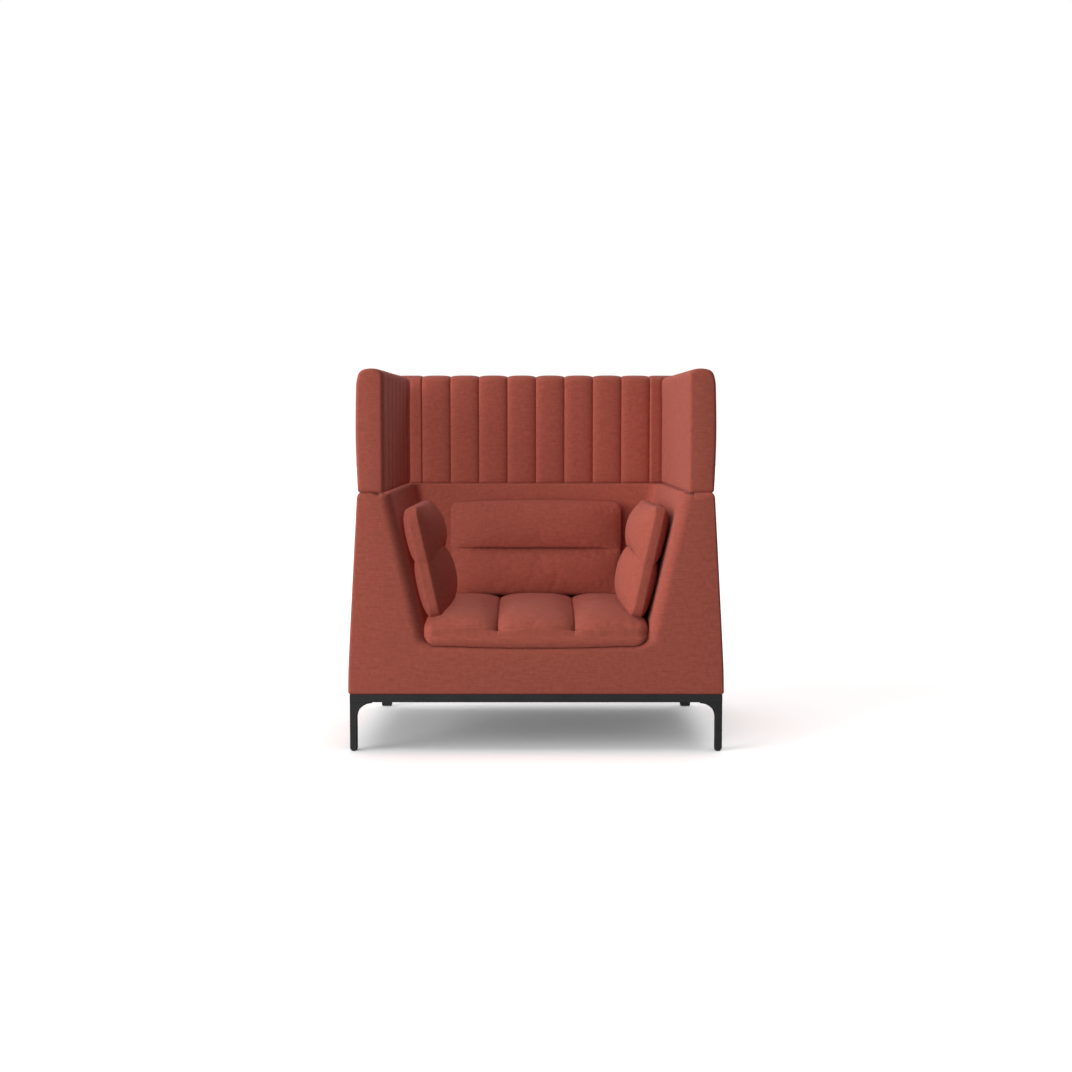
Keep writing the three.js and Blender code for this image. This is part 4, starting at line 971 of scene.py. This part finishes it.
def loose_cushion(name, size, origin, along, up, out, seed, columns=85, rows=79):
    """A boxed cushion with one crease, set at its place in the chair.

    A panel's height is its crown times a lobe up it and an end profile along it. Rest, if
    given, is the height r that a pressed panel levels off at: r tanh(height / r).
    """
    u, row = panel_shares(columns, rows)
    crease = size["crease_rise"] * (1 - u**2)
    v = row + crease * (1 - row**2)
    narrow = size["draw_in"] * (1 - np.abs(v)) ** 6
    bow = size["bow"] * (1 - u**2) * unit(v) ** 2
    half_length, half_height = size["half_length"], size["half_height"]
    x, y = rounded_plan(
        u * (half_length - narrow), v * half_height, half_length, half_height, size["corner"]
    )
    y = y + bow
    edge = np.minimum((1 - np.abs(u)) * half_length, (1 - np.abs(v)) * half_height)
    above = row >= 0
    s = np.where(above, (v - crease) / (1 - crease), (crease - v) / (1 + crease))
    hang = unit(s / size["inner"]["peaks"][0]) * above
    y = y - size["overhang"] * 4 * hang * (1 - hang)
    at_edge, at_crease = near_stitches(edge, edge_hold), near_stitches(s * half_height, crease_hold)
    stitched = np.maximum(at_edge, at_crease)
    gather = ripple(u * 9, v * 1.5, seed) * np.exp(-((s / crease_width) ** 2)) * gather_height
    panels = []
    for side, shape in ((1, size["inner"]), (-1, size["outer"])):
        fade = np.abs(u) ** np.where(u < 0, *shape["fade"])
        floor = shape["crease"] + (1 - shape["crease"]) * fade
        peak = np.where(above, *shape["peaks"])
        end_power = np.where(u < 0, *shape["end_power"])
        ends = unit(1 - np.abs(u) ** end_power) ** shape["end_round"]
        swell = ends * lobe(s, floor, peak) * shape["crown"]
        if "rest" in shape:
            swell = shape["rest"] * np.tanh(swell / shape["rest"])
        folds = ends * (ripple(u, v, seed + side) * fold_height + gather)
        height = size["border"] / 2 + swell + folds - tuck(edge, edge_tuck, edge_tuck)
        spot = origin + x[..., None] * along + y[..., None] * up
        panels.append(spot + side * height[..., None] * out)
    plan = points_of(x, y)
    return boxed(name, *panels, plan, held=[stitched, 0 * u + 1], bulge=border_arch)


# %% [markdown]
# A filled cushion is stretched by its filling. A cloth simulation does the same to the sewn
# shape: pressure from within pushes the free cloth out and its slack folds near the
# stitches, which are pinned. The simulation is only used for its last shape.


# %% Filling a cushion
def settle(piece, cap=5 * mm, frames=12, levels=10):
    """Moves each point by d * cap * tanh(|d| / cap) / |d|, d being its simulated move."""
    mesh = piece.data
    count = len(mesh.vertices)
    share = np.zeros(count, np.float32)
    mesh.attributes["held"].data.foreach_get("value", share)
    mesh.attributes.remove(mesh.attributes["held"])
    group = piece.vertex_groups.new(name="stitched")
    level = np.round(share * levels).astype(int)
    for step in range(1, levels + 1):
        group.add(np.flatnonzero(level == step).tolist(), step / levels, "REPLACE")
    filling = piece.modifiers.new("filling", "CLOTH")
    cloth = filling.settings
    cloth.quality = 4
    cloth.mass = 0.3
    cloth.tension_stiffness = cloth.compression_stiffness = 20
    cloth.shear_stiffness = 8
    cloth.bending_stiffness = 0.3
    cloth.shrink_min = -0.006
    cloth.use_pressure = True
    cloth.uniform_pressure_force = 3.5
    cloth.vertex_group_mass = group.name
    cloth.effector_weights.gravity = 0
    filling.point_cache.frame_start, filling.point_cache.frame_end = 1, frames
    before = np.zeros(3 * count, np.float32)
    mesh.vertices.foreach_get("co", before)
    for frame_number in range(1, frames + 1):
        bpy.context.scene.frame_set(frame_number)
    filled = piece.evaluated_get(bpy.context.evaluated_depsgraph_get())
    after = np.zeros(3 * count, np.float32)
    filled.data.vertices.foreach_get("co", after)
    move = (after - before).reshape(-1, 3)
    length = np.maximum(np.linalg.norm(move, axis=1, keepdims=True), 1e-9)
    print(piece.name, "moved by", np.round(np.percentile(length, (50, 90, 100)) / mm, 1), "mm")
    move = move * cap * np.tanh(length / cap) / length
    piece.modifiers.remove(filling)
    piece.vertex_groups.clear()
    bpy.context.scene.frame_set(1)
    mesh.vertices.foreach_set("co", before + move.ravel())
    mesh.update()
    return piece


# %% Back cushion
back_up = np.array([0, math.sin(wall_slant), math.cos(wall_slant)])
back_out = np.array([0, -math.cos(wall_slant), math.sin(wall_slant)])
# Crown is how far a panel swells, and crease the share of it left at the crease, which fades
# out at each end. Peaks tell where the upper and the lower lobe are highest.
back_size = dict(
    half_length=0.315, half_height=0.172, border=0.032, corner=0.024,
    draw_in=0.003, bow=0.010, crease_rise=0.0, overhang=0.013,
    inner=dict(
        crown=0.050, crease=0.14, fade=(3.5, 10), peaks=(0.31, 0.42),
        end_power=(6, 3), end_round=1.0,
    ),
    outer=dict(
        crown=0.011, crease=0.6, fade=(14, 14), peaks=(0.4, 0.4),
        end_power=(6, 6), end_round=0.5,
    ),
)
back_place, to_the_right = np.array([0, 0.2290, 0.6160]), np.array([1.0, 0, 0])
back_axes = to_the_right, back_up, back_out
back_cushion = loose_cushion(
    "back_cushion_cover", back_size, back_place, *back_axes, seed=11, columns=97
)
settle(back_cushion)
dress(back_cushion, "loose_back_cushion", "upholstery_fabric", "back_cushion", fill=0.75)


# %% [markdown]
# The side cushions stand on the seat and lean on the arms. The arms press their outer
# panels, which rise at once from the border and level off, while the inner panels swell
# slowly. The left cushion mirrors the right one in place, but its folds are its own.


# %% Side cushions
cushion_lean = wall_slant - math.radians(0.5)
side_place = np.array([0.366, -0.108, 0.6185])
side_size = dict(
    half_length=0.250, half_height=0.188, border=0.032, corner=0.046,
    draw_in=0.004, bow=0.0, crease_rise=0.13, overhang=0.007,
    inner=dict(
        crown=0.053, crease=0.50, fade=(4, 4), peaks=(0.42, 0.38),
        end_power=(2, 2), end_round=0.8,
    ),
    outer=dict(
        crown=0.042, rest=0.038, crease=0.25, fade=(30, 30), peaks=(0.42, 0.36),
        end_power=(6, 6), end_round=1.0,
    ),
)


def side_cushion(side, seed):
    """A side cushion. Its axes: up its lean, out of its inner face, and along the arm."""
    lean_cos, lean_sin = math.cos(cushion_lean), math.sin(cushion_lean)
    turn_cos, turn_sin = math.cos(side_turn), math.sin(side_turn)
    spin = np.array([[turn_cos, -turn_sin, 0], [turn_sin, turn_cos, 0], [0, 0, 1]])
    up, out = spin @ np.array([lean_sin, 0, lean_cos]), spin @ np.array([-lean_cos, 0, lean_sin])
    along = np.cross(up, out)
    mirror = np.array([side, 1, 1])
    name = "right" if side > 0 else "left"
    place_and_axes = (vector * mirror for vector in (side_place, along, up, out))
    piece = loose_cushion(f"side_cushion_cover_{name}", side_size, *place_and_axes, seed)
    if side < 0:
        piece.data.flip_normals()
    settle(piece)
    body = f"loose_side_cushion_{name}"
    return dress(piece, body, "upholstery_fabric", f"side_cushion_{name}", fill=0.8)


side_cushions = [side_cushion(1, 23), side_cushion(-1, 31)]


# %% [markdown]
# The seat cushion fills the basin from wall to wall. Its top panel rolls over the front
# down to a border strip, and two grooves sewn from back to front part it into three
# channels. The lower edge of the border follows the opening, which smiles a little.


# %% Seat cushion
seat_half, seat_front_y, seat_border_top = 0.3725, chair_front + 0.006, 0.383
seat_back_z = seat_floor + 0.0464
seat_back_y = floor_back + wall_spread(seat_back_z)
seat_groove_x, seat_groove_depth = 0.127, 0.027
seat_rise, seat_corner, groove_fade_height = 0.078, 0.036, 0.02
front_fade, border_bulge, front_bulge = 0.004, 1.5, 5.5
seat_splay, seat_fold = 5 * mm, 2 * mm


def seat_columns(count=36):
    """Column shares with each channel's own share t, where |t| = 1 on a sewn groove."""
    middle = seat_groove_x / seat_half
    bands = ((-1, -middle), (-middle, middle), (middle, 1))
    u, dip = [], []
    for number, (start, end) in enumerate(bands):
        t = 2 * toward_ends(count, 1.0)[: None if number == 2 else -1] - 1
        outside = (number == 0) & (t < 0) | (number == 2) & (t > 0)
        u.append(start + (t + 1) / 2 * (end - start))
        dip.append(np.where(outside, 0, 1 - np.sqrt(1 - np.abs(t) ** 2.8)))
    return np.concatenate(u), np.concatenate(dip)


def seat_cushion():
    """Top: crown across times crown along, with each groove's dip along the surface normal."""
    u, dip = seat_columns()
    x, row = np.meshgrid(u, 2 * toward_ends(85, 0.95) - 1)
    along = np.where(row < 0, crown(row, 3.0), crown(row, 8))
    swell = crown(x, 6) * along
    depth_half = (seat_back_y - seat_front_y) / 2
    flat_x, flat_y = rounded_plan(
        x * seat_half, row * depth_half, seat_half, depth_half, seat_corner
    )
    y = flat_y + (seat_front_y + seat_back_y) / 2
    back_share = (row + 1) / 2
    splay = seat_splay * np.sin(np.pi * np.abs(x)) * back_share
    taper = side_taper * (y - chair_front) * np.abs(x) ** 3
    wide = flat_x + np.sign(x) * (splay - taper)
    height = swell * (seat_rise + ripple(x * 1.3, row * 1.3, 5) * seat_fold)
    top = points_of(wide, y, seat_border_top + height)
    border_gap = back_share * 2 * depth_half
    fade = unit(border_gap / front_fade) * unit((1 - row) / 0.02)
    fade = fade * (3 - 2 * fade) * unit(height / groove_fade_height)
    sewn_down = seat_groove_depth * (1 - 0.35 * back_share)
    depth = dip * sewn_down * fade + tuck(border_gap + height, 1.0 * mm, 2 * mm)
    top = top - grid_normals(top) * depth[..., None]
    cove_x = floor_half - cove_reach - side_taper * (y - chair_front)
    over_x = np.clip(np.abs(wide) - cove_x, 0, None)
    over_y = np.clip(y - floor_back + cove_reach, 0, None)
    over = np.clip(np.hypot(over_x, over_y), 0, cove_radius * 0.995)
    low = seat_floor + 1.0 * mm + cove_radius - np.sqrt(cove_radius**2 - over**2)
    low = low + smile(wide, y - seat_front_y)
    under = points_of(wide, y, np.minimum(low, seat_border_top - 2 * mm))
    plan = points_of(flat_x, y)
    side_gap = (1 - np.abs(x)) * seat_half / 3
    stitched = np.maximum(near_stitches(np.minimum(border_gap, side_gap), 8), dip**2 * fade)
    front = unit(1 - (border_loop(top)[:, 1:2] - seat_front_y) / 0.02)
    bulge = (border_bulge + front_bulge * front) * mm
    return boxed("seat_cushion_cover", top, under, plan, held=[stitched, 0 * x + 1], bulge=bulge)


seat = settle(seat_cushion())
dress(seat, "chair", "upholstery_fabric", "seat_cushion", fill=0.85)


# %% [markdown]
# ## Under the seat
#
# A thin felt pad lies on the webbing below the seat cushion, and a dust cloth is stapled
# under the tub. Both are hidden in the photograph, but the chair is looked at from below
# as well.


# %% Deck pad and dust cloth
pad_corner, pad_top, pad_swell = 0.02, 10 * mm, 8 * mm
pad_under, pad_sag, cloth_above, cloth_sag = 4 * mm, 3 * mm, 1.2 * mm, 3 * mm


def deck_pad():
    """A thin pad in its solid's box: both faces swell with a crown across times one along."""
    u, v = np.meshgrid(2 * toward_ends(40, 0.8) - 1, 2 * toward_ends(32, 0.8) - 1)
    low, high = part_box("deck_pad")
    half = (high - low) / 2
    centre = (high + low) / 2
    x, y = rounded_plan(u * half.x, v * half.y, half.x, half.y, pad_corner)
    swell = crown(u, 4) * crown(v, 4)
    upper = points_of(x, y + centre.y, low.z + pad_top + pad_swell * swell)
    lower = points_of(x, y + centre.y, low.z + pad_under - pad_sag * swell)
    return boxed("deck_pad_felt", upper, lower, points_of(x, y), border_rows=4)


pad = deck_pad()
dress(pad, "chair", "black_felt", "deck_pad", fill=0.5)


def dust_cloth():
    """A stretched sheet: it sags by (1 - u ** 2) ** 2 along x, times the same along y."""
    low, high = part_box("dust_cover")
    u, v = np.meshgrid(np.linspace(-1, 1, 61), np.linspace(0, 1, 41))
    y = low.y + v * (high.y - low.y)
    half = high.x - 1 * mm - side_taper * (y - low.y)
    sag = cloth_sag * (1 - u**2) ** 2 * (1 - (2 * v - 1) ** 2) ** 2
    points = points_of(u * half, y, low.z + cloth_above - sag)
    return sewn("dust_cloth", [(points, unrolled(points), True)])


dust = dust_cloth()
thicken(dust, 0.6 * mm)
dress(dust, "chair", "black_felt", "dust_cover")


# %% [markdown]
# ## Floor, light and camera
#
# The photo shows a studio light: the left side of each form is bright, the right side soft
# and dark, and little is left of the floor but a shade. Here the floor and the sky are white
# to rays from the camera, and far weaker to others, so that they add little light.
#
# The light itself is a row of wide lamps, most of them at the left. In a studio a screen
# this high would throw a hard shade across the seat, which large light panels close by
# prevent. Light linking does that here: only cushions block the lamps at the left, and all
# but the screen blocks the key lamp and the ceiling's. Two weak lamps light the chair's back.


# %% Floor and sky
floor_white, floor_grey, sky_light = 3.9, 0.62, 0.13


def white_floor():
    """Diffuse grey for the light, and far brighter for the camera's own rays."""
    paint = Finish("pale_floor", (0.8, 0.8, 0.8), 0.9)
    seen = paint.add("LightPath")
    plain, bright = (
        paint.add("BsdfDiffuse", {"Color": (level, level, level, 1)})
        for level in (floor_grey, floor_white)
    )
    both = paint.add("MixShader", {0: seen, 1: plain, 2: bright})
    paint.set(paint.tree.nodes["Material Output"], {"Surface": both})
    return paint.material


bpy.ops.mesh.primitive_plane_add(size=60)
floor = bpy.context.object
floor.name = "floor"
floor.data.materials.append(white_floor())

world = bpy.data.worlds.new("soft_sky")
bpy.context.scene.world = world
world.use_nodes = True
sky = Nodes(world.node_tree)
camera_ray = sky.add("LightPath")
glossy_ray = camera_ray.node.outputs["Is Glossy Ray"]
direct = sky.math("MAXIMUM", camera_ray, glossy_ray)
strength = sky.remap(direct, 0.0, 1.0, sky_light, 1.0)
sky.set(sky.tree.nodes["Background"], {"Color": (1, 1, 1, 1), "Strength": strength})


# %% Lamps
lamp_distance, disk_size, chair_middle = 3.0, 2.0, 0.65


def left_out(name, piece):
    """A collection for light linking that leaves one object out and takes in all others."""
    others = bpy.data.collections.new(name)
    others.objects.link(piece)
    others.collection_objects[0].light_linking.link_state = "EXCLUDE"
    return others


def lamp(name, kind, azimuth, height, level, spread):
    """A lamp aimed at the chair from an azimuth and a height in degrees.

    Azimuth 0 is in front and 90 to the left. At level 1 it lights a white surface that
    faces it to white: pi from a sun, pi squared times the distance squared from a disk.
    Spread is the angle that a sun fills, in radians.
    """
    turn, rise = math.radians(azimuth), math.radians(height)
    flat = math.cos(rise)
    way = Vector((-math.sin(turn) * flat, -math.cos(turn) * flat, math.sin(rise)))
    light = bpy.data.lights.new(name, kind)
    if kind == "SUN":
        light.angle = spread
        light.energy = math.pi * level
    else:
        light.shape = "DISK"
        light.size = disk_size
        light.energy = (math.pi * lamp_distance) ** 2 * level
    holder = bpy.data.objects.new(name, light)
    bpy.context.scene.collection.objects.link(holder)
    holder.location = Vector((0, 0, chair_middle)) + way * lamp_distance
    holder.rotation_euler = (-way).to_track_quat("-Z", "Y").to_euler()
    return holder


no_floor, no_screen = left_out("no_floor", floor), left_out("no_screen", screen)
shading = bpy.data.collections.new("shading_cushions")
for piece in (seat, back_cushion, side_cushions[0]):
    shading.objects.link(piece)
# Name, kind, azimuth, height, level, spread, what blocks the lamp, what it lights.
for *light, blocker, receiver in (
    ("front_fill", "SUN", 30, 10, 0.295, 0.7, shading, no_floor),
    ("left_high", "SUN", 90, 45, 0.32, 0.7, shading, no_floor),
    ("left_near", "AREA", 60, 8, 0.35, 0.7, shading, no_floor),
    ("left_wall", "SUN", 60, 5, 0.21, 0.7, shading, None),
    ("key", "SUN", 60, 10, 0.20, 0.7, no_screen, None),
    ("ceiling", "SUN", 180, 80, 0.12, 1.1, no_screen, None),
    ("back", "SUN", 180, 45, 0.13, 0.7, None, no_floor),
    ("back_right", "SUN", -140, 20, 0.16, 0.7, None, no_floor),
):
    linking = lamp(*light).light_linking
    linking.blocker_collection, linking.receiver_collection = blocker, receiver

# %% Camera
camera_tilt = math.radians(4.443)
camera_data = bpy.data.cameras.new("camera")
camera_data.lens = 50.0
camera_data.sensor_width = 36.0
camera = bpy.data.objects.new("camera", camera_data)
bpy.context.scene.collection.objects.link(camera)
camera.location = (0, -5.259, 1.091)
camera.rotation_euler = (math.pi / 2 - camera_tilt, 0, 0)
bpy.context.scene.camera = camera
bpy.context.scene.view_settings.view_transform = "Standard"
